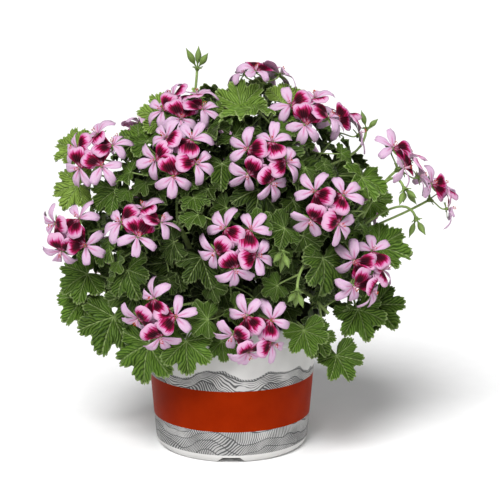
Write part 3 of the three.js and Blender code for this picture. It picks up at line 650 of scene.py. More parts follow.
def lay_round(piece, curve, form, thick=1.0, tint=None):
    """A closed round part along a curve"""
    radii = [radius * thick for radius in form.radii]
    spread = np.linspace(0, 1, len(radii))
    across = vec(1, 0, 0) if abs(heading(curve, 0)[0]) < 0.8 else vec(0, 1, 0)
    rings = []
    for step in range(form.steps + 1):
        share = step / form.steps
        way = heading(curve, share)
        across = square_to(way, across)
        rings.append((curve(share), across, cross(way, across), float(np.interp(share, spread, radii))))
    rings = [rings[0][:3] + (0,)] + rings + [rings[-1][:3] + (0,)]

    def place(around, along):
        spot, side, top, radius = rings[round(along * (len(rings) - 1))]
        turn = 2 * math.pi * around
        radius *= 1 + form.ribs * math.cos(BUD_RIBS * turn)
        return spot + side * (radius * math.cos(turn)) + top * (radius * math.sin(turn))

    piece.lay(form.sides, form.steps + 2, place, form.finish, form.tint if tint is None else tint)


# The whorls of bracts on a bunch's knot and on a hub, and the sepals round a calyx: how many, the turn
# between them, of the first and by chance, how far out their feet stand, their rise, length and half width,
# which way their faces look, and how they curl
BUNCH_WHORL = SimpleNamespace(count=6, turn=60, first=0, drift=12, foot=1.6, rise=(0.3, 1.1), length=(4, 6),
                              half=1.4, up=1, curl=0.2, finish=LEAF_BRACT, tint=0.7)
HUB_WHORL = SimpleNamespace(count=7, turn=51.4, first=0, drift=12, foot=1.8, rise=(0.1, 0.8), length=(5, 7.5),
                            half=1.4, up=1, curl=0.2, finish=SEPAL, tint=0.5)
SEPALS = SimpleNamespace(count=5, turn=72, first=36, drift=0, foot=1.1, rise=(-0.1, 0.16), length=(7, 9),
                         half=1.5, up=-1, curl=-0.12, finish=SEPAL, tint=0.5)
BRACT_FOOT = 0.16
BRACT_FOLD = 0.35


def lay_whorl(piece, place, axis, side, top, whorl, chance):
    """A whorl of small pointed bracts or sepals, each folded a little along its middle"""
    for number in range(whorl.count):
        turn = number * whorl.turn + whorl.first
        if whorl.drift:
            turn += chance.uniform(-whorl.drift, whorl.drift)
        round_ = swung(side, top, math.radians(turn))
        way = unit(round_ + axis * chance.uniform(*whorl.rise))
        face = square_to(way, axis * whorl.up)
        right = cross(way, face)
        length = chance.uniform(*whorl.length)
        foot = place + round_ * whorl.foot

        def spot(across, along):
            aside = 2 * across - 1
            x = aside * whorl.half * math.sin(math.pi * min(BRACT_FOOT + (1 - BRACT_FOOT) * along, 1)) ** 0.8
            lift = -whorl.curl * length * along ** 2 + abs(aside) * whorl.half * BRACT_FOLD
            return foot + right * x + way * (length * along) + face * lift

        piece.lay(2, 4, spot, whorl.finish, whorl.tint)


# The large and the small leaves: columns and rows of quads, height of the ruffle, pleats to a lobe
LARGE_LEAF = SimpleNamespace(columns=126, rows=(0, 0.17, 0.34, 0.5, 0.64, 0.76, 0.86, 0.94, 1),
                             ruffle=0.056, pleats=4, pleat=0.018)
SMALL_LEAF = SimpleNamespace(columns=42, rows=(0, 0.36, 0.68, 0.9, 1), ruffle=0.084, pleats=2, pleat=0.0306)
LEAF_THICKNESS = 0.5
LEAF_HALF_TURN = 150
LEAF_TEETH = (-0.048, 0.022, 0.022)
LEAF_ROUND = 2.5
LEAF_DOME = 0.045
LOBE_TURN = 24.5
SINUS_FILL = 1.1

# How leaves vary: waves of the ruffle round the rim, curl, and fold, which is deeper in a hanging leaf
RUFFLE_WAVES = (13, 18)
SLOW_WAVES = (4, 6)
SLOW_WAVE = 0.8
LEAF_CURLS = (-0.2, 0.1)
LEAF_FOLDS = (0, 0.22)
HANGING_FOLD = 0.2

# How light a leaf is painted: painted shade darkens it near the pot and inside the crown, where the crown's
# own shade falls, and the few that are young are lighter in their own colour
LEAST_PAINTED_LIGHT = 0.38
PAINTED_LIGHT_FROM = 110
PAINTED_LIGHT_RISE = 200
INNER_SHADE = 6
FEW_YOUNG = 1.9
OLD_TINT = 0.48
YOUNG_TINT = 0.8


def leaf_rim(angle):
    """How far a leaf reaches at an angle from its midrib and how it lifts, with broad round lobes"""
    angle = abs(angle)
    first = max(i for i in range(len(LEAF_EDGE) - 1) if i == 0 or angle > LEAF_EDGE[i][0])
    lobe, sinus = LEAF_EDGE[first:first + 2]
    share = (angle - lobe[0]) / (sinus[0] - lobe[0])
    if lobe[1] < sinus[1]:
        lobe, sinus, share = sinus, lobe, 1 - share
    reach = lobe[1] + (sinus[1] * SINUS_FILL - lobe[1]) * share ** LEAF_ROUND
    return reach, lobe[2] + (sinus[2] - lobe[2]) * math.sin(math.pi / 2 * min(share, 1))


def lay_leaf(piece, leaf, chance):
    """A lobed blade with small round teeth, a ruffled rim and a fold along its midrib"""
    kind = SMALL_LEAF if leaf.small else LARGE_LEAF
    phase, drift = chance.uniform(0, 6.3), chance.uniform(0, 6.3)
    waves, slow = chance.uniform(*RUFFLE_WAVES), chance.uniform(*SLOW_WAVES)
    curl = chance.uniform(*LEAF_CURLS)
    fold = chance.uniform(*LEAF_FOLDS) + HANGING_FOLD * max(-leaf.inward[2], 0) ** 2
    young = chance.random() ** FEW_YOUNG
    # Painted shade: leaves low over the pot and deep in the crown are given a darker colour for the shade
    # that falls there
    light = min(max(LEAST_PAINTED_LIGHT + (leaf.place[2] - PAINTED_LIGHT_FROM) / PAINTED_LIGHT_RISE, LEAST_PAINTED_LIGHT), 1)
    tint = light * min(leaf.depth, 1) ** INNER_SHADE * min(OLD_TINT + YOUNG_TINT * young, YOUNG_TINT)

    def plan(across, along):
        return across, kind.rows[round(along * (len(kind.rows) - 1))]

    def place(across, along):
        along = plan(across, along)[1]
        angle = (across - 0.5) * 2 * LEAF_HALF_TURN
        reach, lift = leaf_rim(angle)
        turn = math.radians(angle)
        if along == 1:
            reach *= 1 + LEAF_TEETH[round(across * kind.columns) % 3]
        wave = kind.ruffle * (math.sin(waves * turn + phase) + SLOW_WAVE * math.sin(slow * turn + drift))
        crease = kind.pleat * math.cos(math.pi * kind.pleats * angle / LOBE_TURN) * along ** 1.2
        lift = lift * along ** 1.5 + LEAF_DOME * math.sin(math.pi * along) + wave * along ** 3
        lift += curl * along ** 2 - crease + fold * abs(math.sin(turn)) * reach * along
        reach *= leaf.length * along
        return (leaf.place + leaf.right * (reach * math.sin(turn))
                + leaf.inward * (reach * math.cos(turn)) + leaf.face * (lift * leaf.length))

    piece.lay(kind.columns, len(kind.rows) - 1, place, BLADE, tint, plan)


STEM_SEED = 500
KNOB_ENDS = (2.4, 2.2)
BUD_TINTS = (0.2, 0.7)


def lay_bunch(wood, leaves, bunch, chance):
    """A bunch of pointed green buds on their knot, with a whorl of small bracts"""
    knob = bend(bunch.knot - bunch.axis * KNOB_ENDS[0], bunch.knot + bunch.axis * KNOB_ENDS[1])
    lay_round(wood, knob, KNOB_FORM)
    for bud in bunch.buds:
        lay_round(wood, bud, BUD_FORM, math.sqrt(bunch.size), chance.uniform(*BUD_TINTS))
    lay_whorl(leaves, bunch.knot, bunch.axis, bunch.side, bunch.top, BUNCH_WHORL, chance)


def make_stem(stem, green):
    chance = random.Random(STEM_SEED + stem.number)
    node = "stem_%02d" % stem.number
    wood = Piece(node, "wood", "leaf_green", green.wood, green.bud)
    leaves = Piece(node, "leaves", "leaf_green", green.leaf, green.bract, green.leaf_back, green.bract)
    lay_round(wood, stem.curve, STEM_FORM)
    lay_round(wood, stem.branch, SHOOT_FORM)
    for stalk in stem.stalks:
        lay_round(wood, stalk, STALK_FORM)
    for leaf in stem.leaves:
        lay_round(wood, leaf.petiole, PETIOLE_FORM, SPRIG_PETIOLE if leaf.small else 1)
        lay_leaf(leaves, leaf, chance)
    for bunch in stem.bunches:
        lay_bunch(wood, leaves, bunch, chance)
    wood.done()
    leaves.done(LEAF_THICKNESS)


# The two kinds of petal: columns of quads, width of the claw, share where it is open, bluntness, and how
# turn, lift, notch, lean and sag vary
BROAD_PETAL = SimpleNamespace(finish=BROAD, columns=6, claw=0.22, open=0.7, blunt=0.4, turn=3.5, lift=1.6,
                              notch=(0.02, 0.09), lean=0.08, sag=(1.5, 4))
NARROW_PETAL = SimpleNamespace(finish=NARROW, columns=4, claw=0.38, open=0.56, blunt=0.3, turn=7, lift=2.6,
                               notch=(-0.04, 0.07), lean=0.3, sag=(0.3, 6.5))

# The petals of a floret: angle from the head's middle, length, half width, lift of the tip, kind
PETALS = (
    (180, 22.8, 4.5, -1.2, NARROW_PETAL),
    (117, 21.8, 4.6, -0.2, NARROW_PETAL),
    (-117, 21.8, 4.6, -0.2, NARROW_PETAL),
    (29, 23.2, 9.4, 0, BROAD_PETAL),
    (-29, 23.2, 9.4, 0.7, BROAD_PETAL),
)
PETAL_THICKNESS = 0.35
PETAL_ROWS = 7
PETAL_START = 0.7
PETAL_LENGTHS = (0.92, 1.03)
PETAL_WIDTHS = (0.9, 1.08)
PETAL_CUPS = (-0.8, 1.6)
PETAL_RISE = 1.9
OPEN_WIDTH = 1.1
SAG_START = 0.4
RIPPLE = 0.6
FLORET_TILT = 0.14

# The stamens: how many, the drift of their turn, where their feet stand, and how far their tips do
STAMENS = 6
STAMEN_DRIFT = 20
STAMEN_DEPTH = THROAT - 0.4
STAMEN_FOOT = 0.7
STAMEN_BEND = 3
STAMEN_HEIGHTS = (5, 8)
STAMEN_SPREAD = (1, 2)
POLLEN_ENDS = (0.4, 0.9)

# The pedicels and calyces
BLOOM_SEED = 900
PEDICEL_START = 0.8
PEDICEL_BEND = (0.4, 0.3)
CALYX_FOOT = 0.4
CALYX_TOP = THROAT - 0.3
SEPAL_HEIGHT = 1.6


def lay_petal(piece, floret, angle, length, half, lift, kind, chance):
    turn = math.radians(angle + chance.uniform(-kind.turn, kind.turn))
    way = swung(floret.inward, floret.right, turn)
    side = swung(floret.right, -floret.inward, turn)
    length *= chance.uniform(*PETAL_LENGTHS)
    half *= chance.uniform(*PETAL_WIDTHS)
    cup, phase = chance.uniform(*PETAL_CUPS), chance.uniform(0, 6.3)
    lift += chance.uniform(-kind.lift, kind.lift)
    notch = chance.uniform(*kind.notch)
    lean = chance.uniform(-kind.lean, kind.lean)
    sag = chance.uniform(*kind.sag)

    def shape(across, along):
        """The square sheet rounded into a petal: shares of the half width and of the length"""
        a, b = 2 * across - 1, 2 * along - 1
        x, y = a * math.sqrt(1 - kind.blunt * b * b), b * math.sqrt(1 - kind.blunt * a * a)
        share = (y + 1) / 2
        open_ = min(share / kind.open, 1)
        return x * (kind.claw + (OPEN_WIDTH - kind.claw) * open_ * open_ * (3 - 2 * open_)), share

    def place(across, along):
        x, share = shape(across, along)
        rise = -THROAT + (THROAT + lift) * (1 - (1 - share) ** PETAL_RISE)
        droop = -sag * max(share - SAG_START, 0) ** 2 * length / 4
        ripple = RIPPLE * math.sin(5 * x + phase) * share ** 2
        share -= notch * math.exp(-9 * x * x) * share ** 4
        z = rise + droop + ripple - cup * x * x * share + lean * x * half
        return (floret.place + side * (x * half) + way * (PETAL_START + (length - PETAL_START) * share)
                + floret.face * z)

    def plan(across, along):
        x, share = shape(across, along)
        return 0.5 + 0.5 * x, share

    piece.lay(kind.columns, PETAL_ROWS, place, kind.finish, chance.random(), plan)


def tilted(floret, chance):
    """The same floret, its face turned a little by chance"""
    face = unit(floret.face + floret.right * chance.uniform(-FLORET_TILT, FLORET_TILT)
                + floret.inward * chance.uniform(-FLORET_TILT, FLORET_TILT))
    inward = square_to(face, floret.inward)
    return SimpleNamespace(place=floret.place, face=face, inward=inward, right=cross(inward, face))


def lay_stamens(piece, floret, chance):
    """Thin filaments that rise out of the throat, tipped with orange pollen"""
    throat = floret.place - floret.face * STAMEN_DEPTH
    for number in range(STAMENS):
        turn = number * 360 / STAMENS + chance.uniform(-STAMEN_DRIFT, STAMEN_DRIFT)
        round_ = swung(floret.right, floret.inward, math.radians(turn))
        tip = (throat + floret.face * chance.uniform(*STAMEN_HEIGHTS)
               + round_ * chance.uniform(*STAMEN_SPREAD))
        foot = throat + round_ * STAMEN_FOOT
        curve = bend(foot, foot + floret.face * STAMEN_BEND, tip)
        way = heading(curve, 1)
        lay_round(piece, curve, FILAMENT_FORM)
        lay_round(piece, bend(tip - way * POLLEN_ENDS[0], tip + way * POLLEN_ENDS[1]), POLLEN_FORM)


def make_bloom(bloom, green, pink):
    chance = random.Random(BLOOM_SEED + bloom.number)
    node = "bloom_%02d" % bloom.number
    petals = Piece(node, "petals", "petal_pink", pink.broad, pink.narrow, green.bract,
                   pink.back, pink.back, green.bract)
    stalks = Piece(node, "stalks", "petal_pink", green.wood, green.bud, pink.filament, pink.pollen)
    hub, axis = bloom.hub, bloom.axis
    lay_round(stalks, bend(hub - axis * HUB_RADIUS, hub + axis * HUB_RADIUS), HUB_FORM)
    side = square_to(axis, bloom.florets[0].out)
    lay_whorl(petals, hub, axis, side, cross(axis, side), HUB_WHORL, chance)
    for floret in bloom.florets:
        face = floret.face
        calyx = floret.place - face * CALYX_DEPTH
        root = hub + floret.out * PEDICEL_START
        reach = apart(root, calyx)
        pedicel = bend(root, root + floret.out * (reach * PEDICEL_BEND[0]),
                       calyx - face * (reach * PEDICEL_BEND[1]), calyx)
        lay_round(stalks, pedicel, PEDICEL_FORM)
        lay_round(stalks, bend(calyx - face * CALYX_FOOT, floret.place - face * CALYX_TOP), CALYX_FORM)
        lay_whorl(petals, calyx + face * SEPAL_HEIGHT, face, floret.inward, floret.right, SEPALS, chance)
        turned = tilted(floret, chance)
        for row in PETALS:
            lay_petal(petals, turned, *row, chance)
        lay_stamens(stalks, turned, chance)
    petals.done(PETAL_THICKNESS)
    stalks.done()


# The pot's wall, from the middle of its floor round the foot and the rim and back, as radius and height
POT_PROFILE = (
    (0, 7.6), (67, 7.6), (68.4, 7), (69, 5.6), (69, 0.5), (69.5, 0), (75.2, 0), (76.6, 0.5), (80.2, 3.8),
    (81.6, 6.4), (82.5, 10), (92, 123), (92.5, 123.4), (94.5, 124.3), (95, 124.9), (95, 141.4),
    (94.6, 142.6), (93.6, 143), (92.4, 143), (91.8, 142.6), (90.1, 123), (80.6, 14), (79.6, 11.4),
    (76.6, 9.6), (0, 9.6),
)
POT_STEPS = 96
POT_FLOOR = 9.6
POT_CREASE = math.radians(38)
NOTCHES = 4
NOTCH_BOTTOM = 33
NOTCH_TOP = 18
NOTCH_BELOW = -1
NOTCH_HEIGHT = 6.5
NOTCH_INSIDE = 61
NOTCH_DEPTH = 30
DRAIN_RING = 45
DRAIN_RADIUS = 6
DRAIN_LENGTH = 12
DRAIN_SIDES = 24

SOIL_PROFILE = ((0, 9.95), (76.4, 9.95), (80.2, 14.2), (89.7, 123), (89.7, 127))
SOIL_REACH, SOIL_EDGE = SOIL_PROFILE[-1]
SOIL_TOP = 131
SOIL_RINGS = 16
SOIL_STEPS = 72
SOIL_SEED = 77
LOOSE_HEIGHT = 124
LOOSE_REACH = 88
LOOSE_SWELLS = ((2.2, 0.07), (1.1, 0.24))
CRUMBS = 320
CRUMB_REACH = 87
CRUMB_RADII = (0.9, 2.6)
CRUMB_LIFT = 0.3


def spun(profile, steps):
    """A closed round body turned about the pot's axis, with its faces outward"""
    body = bmesh.new()
    verts = [body.verts.new(in_room((radius, 0, height))) for radius, height in profile]
    edges = [body.edges.new(pair) for pair in zip(verts, verts[1:])]
    bmesh.ops.spin(body, geom=verts + edges, cent=POT_AXIS, axis=(0, 0, 1), dvec=(0, 0, 0),
                   angle=2 * math.pi, steps=steps, use_merge=True)
    bmesh.ops.remove_doubles(body, verts=body.verts, dist=WELD)
    bmesh.ops.recalc_face_normals(body, faces=body.faces)
    for face in body.faces:
        face.smooth = True
    return body


def pot_cutter():
    """The blocks that cut the four notches through the foot, and the drills for the drain holes"""
    body = bmesh.new()
    for number in range(NOTCHES):
        turn = math.radians(number * 360 / NOTCHES)
        for vert in bmesh.ops.create_cube(body, size=1)["verts"]:
            x, y, z = vert.co
            x = (NOTCH_TOP if z > 0 else NOTCH_BOTTOM) / 2 * (1 if x > 0 else -1)
            y = -NOTCH_INSIDE - NOTCH_DEPTH * (0.5 - y)
            vert.co = in_room((x * math.cos(turn) - y * math.sin(turn),
                               x * math.sin(turn) + y * math.cos(turn),
                               NOTCH_HEIGHT if z > 0 else NOTCH_BELOW))
        drill = bmesh.ops.create_cone(body, cap_ends=True, segments=DRAIN_SIDES, radius1=DRAIN_RADIUS * MM,
                                      radius2=DRAIN_RADIUS * MM, depth=DRAIN_LENGTH * MM)["verts"]
        middle = in_room((DRAIN_RING * math.cos(turn), DRAIN_RING * math.sin(turn), POT_FLOOR))
        bmesh.ops.translate(body, verts=drill, vec=middle)
    bmesh.ops.recalc_face_normals(body, faces=body.faces)
    return body


def make_pot(finish):
    pot = linked("pot_shell", spun(POT_PROFILE, POT_STEPS), finish)
    cutter = linked("pot_cutter", pot_cutter(), finish)
    cut = pot.modifiers.new("cut", "BOOLEAN")
    cut.operation = "DIFFERENCE"
    cut.solver = "EXACT"
    cut.object = cutter
    bpy.context.view_layer.update()
    mesh = bpy.data.meshes.new_from_object(pot.evaluated_get(bpy.context.evaluated_depsgraph_get()))
    pot.modifiers.clear()
    pot.data = mesh
    bpy.data.objects.remove(cutter)
    mesh.set_sharp_from_angle(angle=POT_CREASE)
    stand_for(pot, "pot", "pot_plastic")


def make_soil(finish):
    """The potting mix, heaped a little in the middle, with an uneven top and loose crumbs"""
    chance = random.Random(SOIL_SEED)
    heap = SOIL_TOP - SOIL_EDGE
    rings = [(SOIL_REACH * (1 - i / SOIL_RINGS), SOIL_EDGE + heap * math.sin(math.pi / 2 * i / SOIL_RINGS))
             for i in range(1, SOIL_RINGS + 1)]
    body = spun(SOIL_PROFILE + tuple(rings), SOIL_STEPS)
    for vert in body.verts:
        spot = (vert.co - POT_AXIS) / MM
        if spot.z > LOOSE_HEIGHT and spot.xy.length < LOOSE_REACH:
            vert.co.z += sum(height * noise.noise(spot * scale) for height, scale in LOOSE_SWELLS) * MM
    for _ in range(CRUMBS):
        radius, around = CRUMB_REACH * math.sqrt(chance.random()), chance.uniform(0, 6.283)
        crumb = bmesh.ops.create_icosphere(body, subdivisions=1, radius=chance.uniform(*CRUMB_RADII) * MM)
        bmesh.ops.scale(body, vec=(1, chance.uniform(0.5, 1), chance.uniform(0.4, 0.9)), verts=crumb["verts"])
        height = SOIL_EDGE + heap * math.cos(math.pi / 2 * radius / SOIL_REACH) + CRUMB_LIFT
        place = in_room((radius * math.cos(around), radius * math.sin(around), height))
        bmesh.ops.translate(body, verts=crumb["verts"], vec=place)
    stand_for(linked("potting_soil", body, finish), "soil", "potting_mix")


def shade(red, green, blue):
    """A colour as seen on a screen, 0 to 255, as the shader's light values"""
    def light(value):
        value /= 255
        return value / 12.92 if value <= 0.04045 else ((value + 0.055) / 1.055) ** 2.4

    return light(red), light(green), light(blue), 1


class Finish:
    """A material's nodes, joined up step by step"""

    def __init__(self, name, roughness, specular):
        self.material = bpy.data.materials.new(name)
        self.material.use_nodes = True
        self.tree = self.material.node_tree
        self.tree.nodes.clear()
        sink = self.tree.nodes.new("ShaderNodeOutputMaterial")
        self.shader = self.tree.nodes.new("ShaderNodeBsdfPrincipled")
        self.tree.links.new(self.shader.outputs["BSDF"], sink.inputs["Surface"])
        self.set("Roughness", roughness)
        self.set("Specular IOR Level", specular)

    def put(self, socket, value):
        if isinstance(value, bpy.types.NodeSocket):
            self.tree.links.new(value, socket)
        else:
            socket.default_value = value

    def set(self, name, value):
        self.put(self.shader.inputs[name], value)

    def node(self, kind, sockets=(), **settings):
        """The outputs of a new node, with its settings made and its sockets fed"""
        node = self.tree.nodes.new("ShaderNode" + kind)
        for name, value in settings.items():
            setattr(node, name, value)
        for socket, value in dict(sockets).items():
            self.put(node.inputs[socket], value)
        return node.outputs

    def math(self, operation, *values):
        return self.node("Math", enumerate(values), operation=operation)[0]

    def plus(self, a, b):
        return self.math("ADD", a, b)

    def less(self, a, b):
        return self.math("SUBTRACT", a, b)

    def times(self, product, *others):
        for other in others:
            product = self.math("MULTIPLY", product, other)
        return product

    def line(self, value, slope, start):
        """A value times a slope, from a start"""
        return self.math("MULTIPLY_ADD", value, slope, start)

    def fold(self, value, width):
        """A value that runs to and fro between 0 and a width"""
        return self.math("PINGPONG", value, width)

    def above(self, value, limit):
        return self.math("GREATER_THAN", value, limit)

    def below(self, value, limit):
        return self.math("LESS_THAN", value, limit)

    def step(self, value, low, high, start=0.0, end=1.0):
        """A smooth step from start to end while a value goes from low to high"""
        return self.node("MapRange", enumerate((value, low, high, start, end)),
                         interpolation_type="SMOOTHSTEP")[0]

    def blend(self, share, a, b):
        return self.node("Mix", {0: share, 6: a, 7: b}, data_type="RGBA")[2]

    def ramp(self, value, *stops):
        node = self.tree.nodes.new("ShaderNodeValToRGB")
        elements = node.color_ramp.elements
        while len(elements) < len(stops):
            elements.new(0.5)
        for element, (position, colour) in zip(elements, stops):
            element.position = position
            element.color = colour
        self.put(node.inputs[0], value)
        return node.outputs[0]

    def parts(self, value, kind="SeparateXYZ"):
        return self.node(kind, {0: value})

    def plan(self):
        """The piece's own map, and its shares across and along"""
        plan = self.node("UVMap", uv_map="UVMap")[0]
        across, along, _ = self.parts(plan)
        return plan, across, along

    def room(self):
        return self.node("TexCoord")["Object"]

    def tint(self):
        return self.node("Attribute", attribute_name="tint")["Fac"]

    def grain(self, vector, scale, detail=2.0, roughness=0.5):
        return self.node("TexNoise", {"Vector": vector, "Scale": scale, "Detail": detail,
                                      "Roughness": roughness})[0]

    def stretched(self, vector, scale, shift=(0, 0, 0)):
        return self.node("Mapping", {"Vector": vector, "Scale": scale, "Location": shift})[0]

    def streaks(self, plan, across, along, detail=2.0, roughness=0.5):
        """A grain of so many flecks across a petal and along it"""
        return self.grain(self.stretched(plan, (across, along, 1)), 1, detail, roughness)

    def relief(self, height, depth):
        self.set("Normal", self.node("Bump", {"Height": height, "Distance": depth})[0])

    def down(self, weight, roughness, colour):
        """A soft sheen, as of fine hairs"""
        self.set("Sheen Weight", weight)
        self.set("Sheen Roughness", roughness)
        self.set("Sheen Tint", colour)


LEAF_SIDE_VEINS = 6.5
VEIN_SLANT = -0.036
VEIN_WANDER = 2.2
FURROW_WIDTH = 0.36
LEAF_RELIEF = 0.0009


def leaf_finish(name, dark, middle, young, margin):
    """Green, with ridges between the furrows that fan out from each lobe's rib, painted shade in the furrows,
    a painted highlight on the ridges, and a pale thin rim
    """
    finish = Finish(name, 0.46, 0.16)
    _, across, along = finish.plan()
    room, tint = finish.room(), finish.tint()
    gap = finish.fold(finish.line(across, 2 * LEAF_HALF_TURN, -LEAF_HALF_TURN), LOBE_TURN)
    rib = finish.step(finish.times(gap, along), 0.4, 1.8, 1, 0)
    wander = finish.times(finish.grain(room, 100), VEIN_WANDER)
    start = finish.times(along, finish.line(gap, VEIN_SLANT, 1))
    veins = finish.fold(finish.line(start, LEAF_SIDE_VEINS, wander), 0.5)
    ridge = finish.step(veins, 0, FURROW_WIDTH)
    patches = finish.grain(room, 60, 3)
    colour = finish.ramp(tint, (0, dark), (0.5, middle), (1, young))
    colour = finish.blend(finish.step(patches, 0.3, 0.7, 0, 0.4), colour, dark)
    # Painted shade: the furrows between the ridges are darkened, in uneven patches, for the shade that falls
    # in them
    painted_furrow_shade = finish.step(finish.grain(room, 35), 0.35, 0.65, 0.1, 0.46)
    colour = finish.blend(finish.times(finish.less(1, ridge), painted_furrow_shade), colour, dark)
    # Painted highlight: the ridges are lightened towards the young green, more on the lighter leaves
    colour = finish.blend(finish.times(ridge, finish.line(tint, 0.3, 0.08)), colour, young)
    colour = finish.blend(finish.times(rib, 0.3), colour, margin)
    edge = finish.step(finish.plus(along, finish.times(patches, 0.04)), 0.95, 1.01)
    edge = finish.times(edge, finish.line(tint, 0.6, 0.12))
    finish.set("Base Color", finish.blend(edge, colour, margin))
    height = finish.line(finish.grain(room, 420, 3), 0.5, finish.line(rib, -0.9, ridge))
    finish.relief(height, LEAF_RELIEF)
    finish.down(0.03, 0.5, shade(190, 210, 150))
    return finish.material


def green_finish(name, low, high, scale=180):
    """Stems, stalks and buds: green with small paler flecks and a soft down"""
    finish = Finish(name, 0.5, 0.4)
    room = finish.room()
    colour = finish.blend(finish.tint(), low, high)
    colour = finish.blend(finish.step(finish.grain(room, scale, 3), 0.35, 0.75, 0, 0.5), colour, high)
    finish.set("Base Color", colour)
    finish.relief(finish.grain(room, 1500), 0.0004)
    finish.down(0.16, 0.4, shade(225, 235, 200))
    return finish.material


PETAL_TIP = shade(204, 158, 188)
PETAL_PINK = shade(199, 124, 170)
PETAL_MAGENTA = shade(182, 46, 116)
PETAL_CRIMSON = shade(138, 8, 56)
PETAL_MAROON = shade(70, 4, 26)
PETAL_BLACK = shade(32, 2, 12)
CLAW_PINK = shade(212, 150, 184)
CLAW_VEINS = 9
NARROW_PALE = shade(203, 177, 195)
NARROW_LILAC = shade(201, 164, 196)
NARROW_DEEP = shade(190, 138, 190)
BACK_LILAC = shade(200, 150, 196)
BACK_PALE = shade(228, 196, 222)
BACK_FOOT = shade(224, 196, 208)


def broad_petal_finish():
    """Lilac pink with a feathered dark blotch in a crimson and magenta ring, and veins in the claw"""
    finish = Finish("broad petal", 0.6, 0.08)
    plan, across, along = finish.plan()
    x = finish.times(finish.less(across, 0.5), 1.7)
    y = finish.math("MAXIMUM", finish.line(along, 2.1, -0.92), finish.line(along, -1.5, 0.63))
    far = finish.math("SQRT", finish.plus(finish.times(x, x), finish.times(y, y)))
    far = finish.plus(far, finish.line(finish.streaks(plan, 22, 2.2, 3), 0.9, -0.45))
    far = finish.plus(far, finish.line(finish.streaks(plan, 3, 3), 0.5, -0.25))
    far = finish.line(finish.tint(), 0.2, far)
    colour = finish.ramp(far, (0.26, PETAL_BLACK), (0.48, PETAL_MAROON), (0.66, PETAL_CRIMSON),
                         (0.78, PETAL_MAGENTA), (0.9, PETAL_PINK), (1, PETAL_TIP))
    lines = finish.streaks(plan, 30, 1.3)
    vein = finish.step(finish.fold(finish.times(across, CLAW_VEINS), 0.5), 0, 0.16, 1, 0)
    vein = finish.times(vein, finish.step(along, 0.6, 0.95, 0.7, 0), 0.5)
    colour = finish.blend(vein, colour, PETAL_CRIMSON)
    claw = finish.step(along, 0.08, 0.3, 1, 0)
    throat = finish.ramp(lines, (0.4, CLAW_PINK), (0.5, PETAL_CRIMSON))
    finish.set("Base Color", finish.blend(claw, colour, throat))
    finish.relief(lines, 0.0004)
    return finish.material


def narrow_petal_finish():
    """Pale lilac, clouded, with a feathered magenta streak up the middle"""
    finish = Finish("narrow petal", 0.6, 0.12)
    plan, across, along = finish.plan()
    lines = finish.streaks(plan, 22, 1.6)
    middle = finish.step(finish.math("ABSOLUTE", finish.less(across, 0.5)), 0.02, 0.16, 1, 0)
    reach = finish.step(along, 0.3, 0.72, 1, 0)
    streak = finish.times(middle, reach, finish.step(lines, 0.3, 0.6), 0.8)
    cloud = finish.step(finish.streaks(plan, 5, 3.5, 3, 0.65), 0.48, 0.62, 0, 0.5)
    colour = finish.blend(cloud, finish.ramp(lines, (0.3, NARROW_LILAC), (0.7, NARROW_PALE)), NARROW_DEEP)
    finish.set("Base Color", finish.blend(streak, colour, PETAL_MAGENTA))
    finish.relief(lines, 0.0003)
    return finish.material


def petal_back_finish():
    """Pale lilac with fine lines, paler still at the foot"""
    finish = Finish("petal back", 0.55, 0.3)
    plan, _, along = finish.plan()
    lines = finish.streaks(plan, 24, 1.4)
    colour = finish.ramp(lines, (0.3, BACK_LILAC), (0.7, BACK_PALE))
    finish.set("Base Color", finish.blend(finish.step(along, 0, 0.4, 0.5, 0), colour, BACK_FOOT))
    finish.relief(lines, 0.0003)
    finish.set("Sheen Weight", 0.2)
    return finish.material


def stamen_finish(name, low, high, scale):
    """The filaments and the pollen: fine flecks between two colours"""
    finish = Finish(name, 0.55, 0.4)
    flecks = finish.grain(finish.room(), scale, 3)
    finish.set("Base Color", finish.ramp(flecks, (0.3, low), (0.7, high)))
    finish.relief(flecks, 0.0003)
    return finish.material


BAND_BOTTOM, BAND_TOP = 35, 80
HATCH_BOTTOM, HATCH_TOP = 9, 112
HATCH_LAYER = 11
HATCH_ROLL = 34
HATCH_WAVES, HATCH_WAVE = 6, 3
HATCH_WOBBLE = 5

# The four ways to hatch a layer: the chance number from which each is picked, its turns round, its rise
HATCHES = ((0, 260, 0.9), (0.3, 36, 3.4), (0.55, 190, 2.0), (0.78, 190, -2.0))

# A cone just inside the pot's outer wall: its radius at height 0, and how it widens with height
WALL_FOOT, WALL_FLARE = 80.7, 0.084

POT_WHITES = shade(202, 201, 199), shade(211, 210, 208)
POT_RUSTS = shade(131, 30, 0), shade(140, 35, 1)
PEN_WASH = shade(120, 121, 121)
PEN_GREY = shade(52, 54, 56)


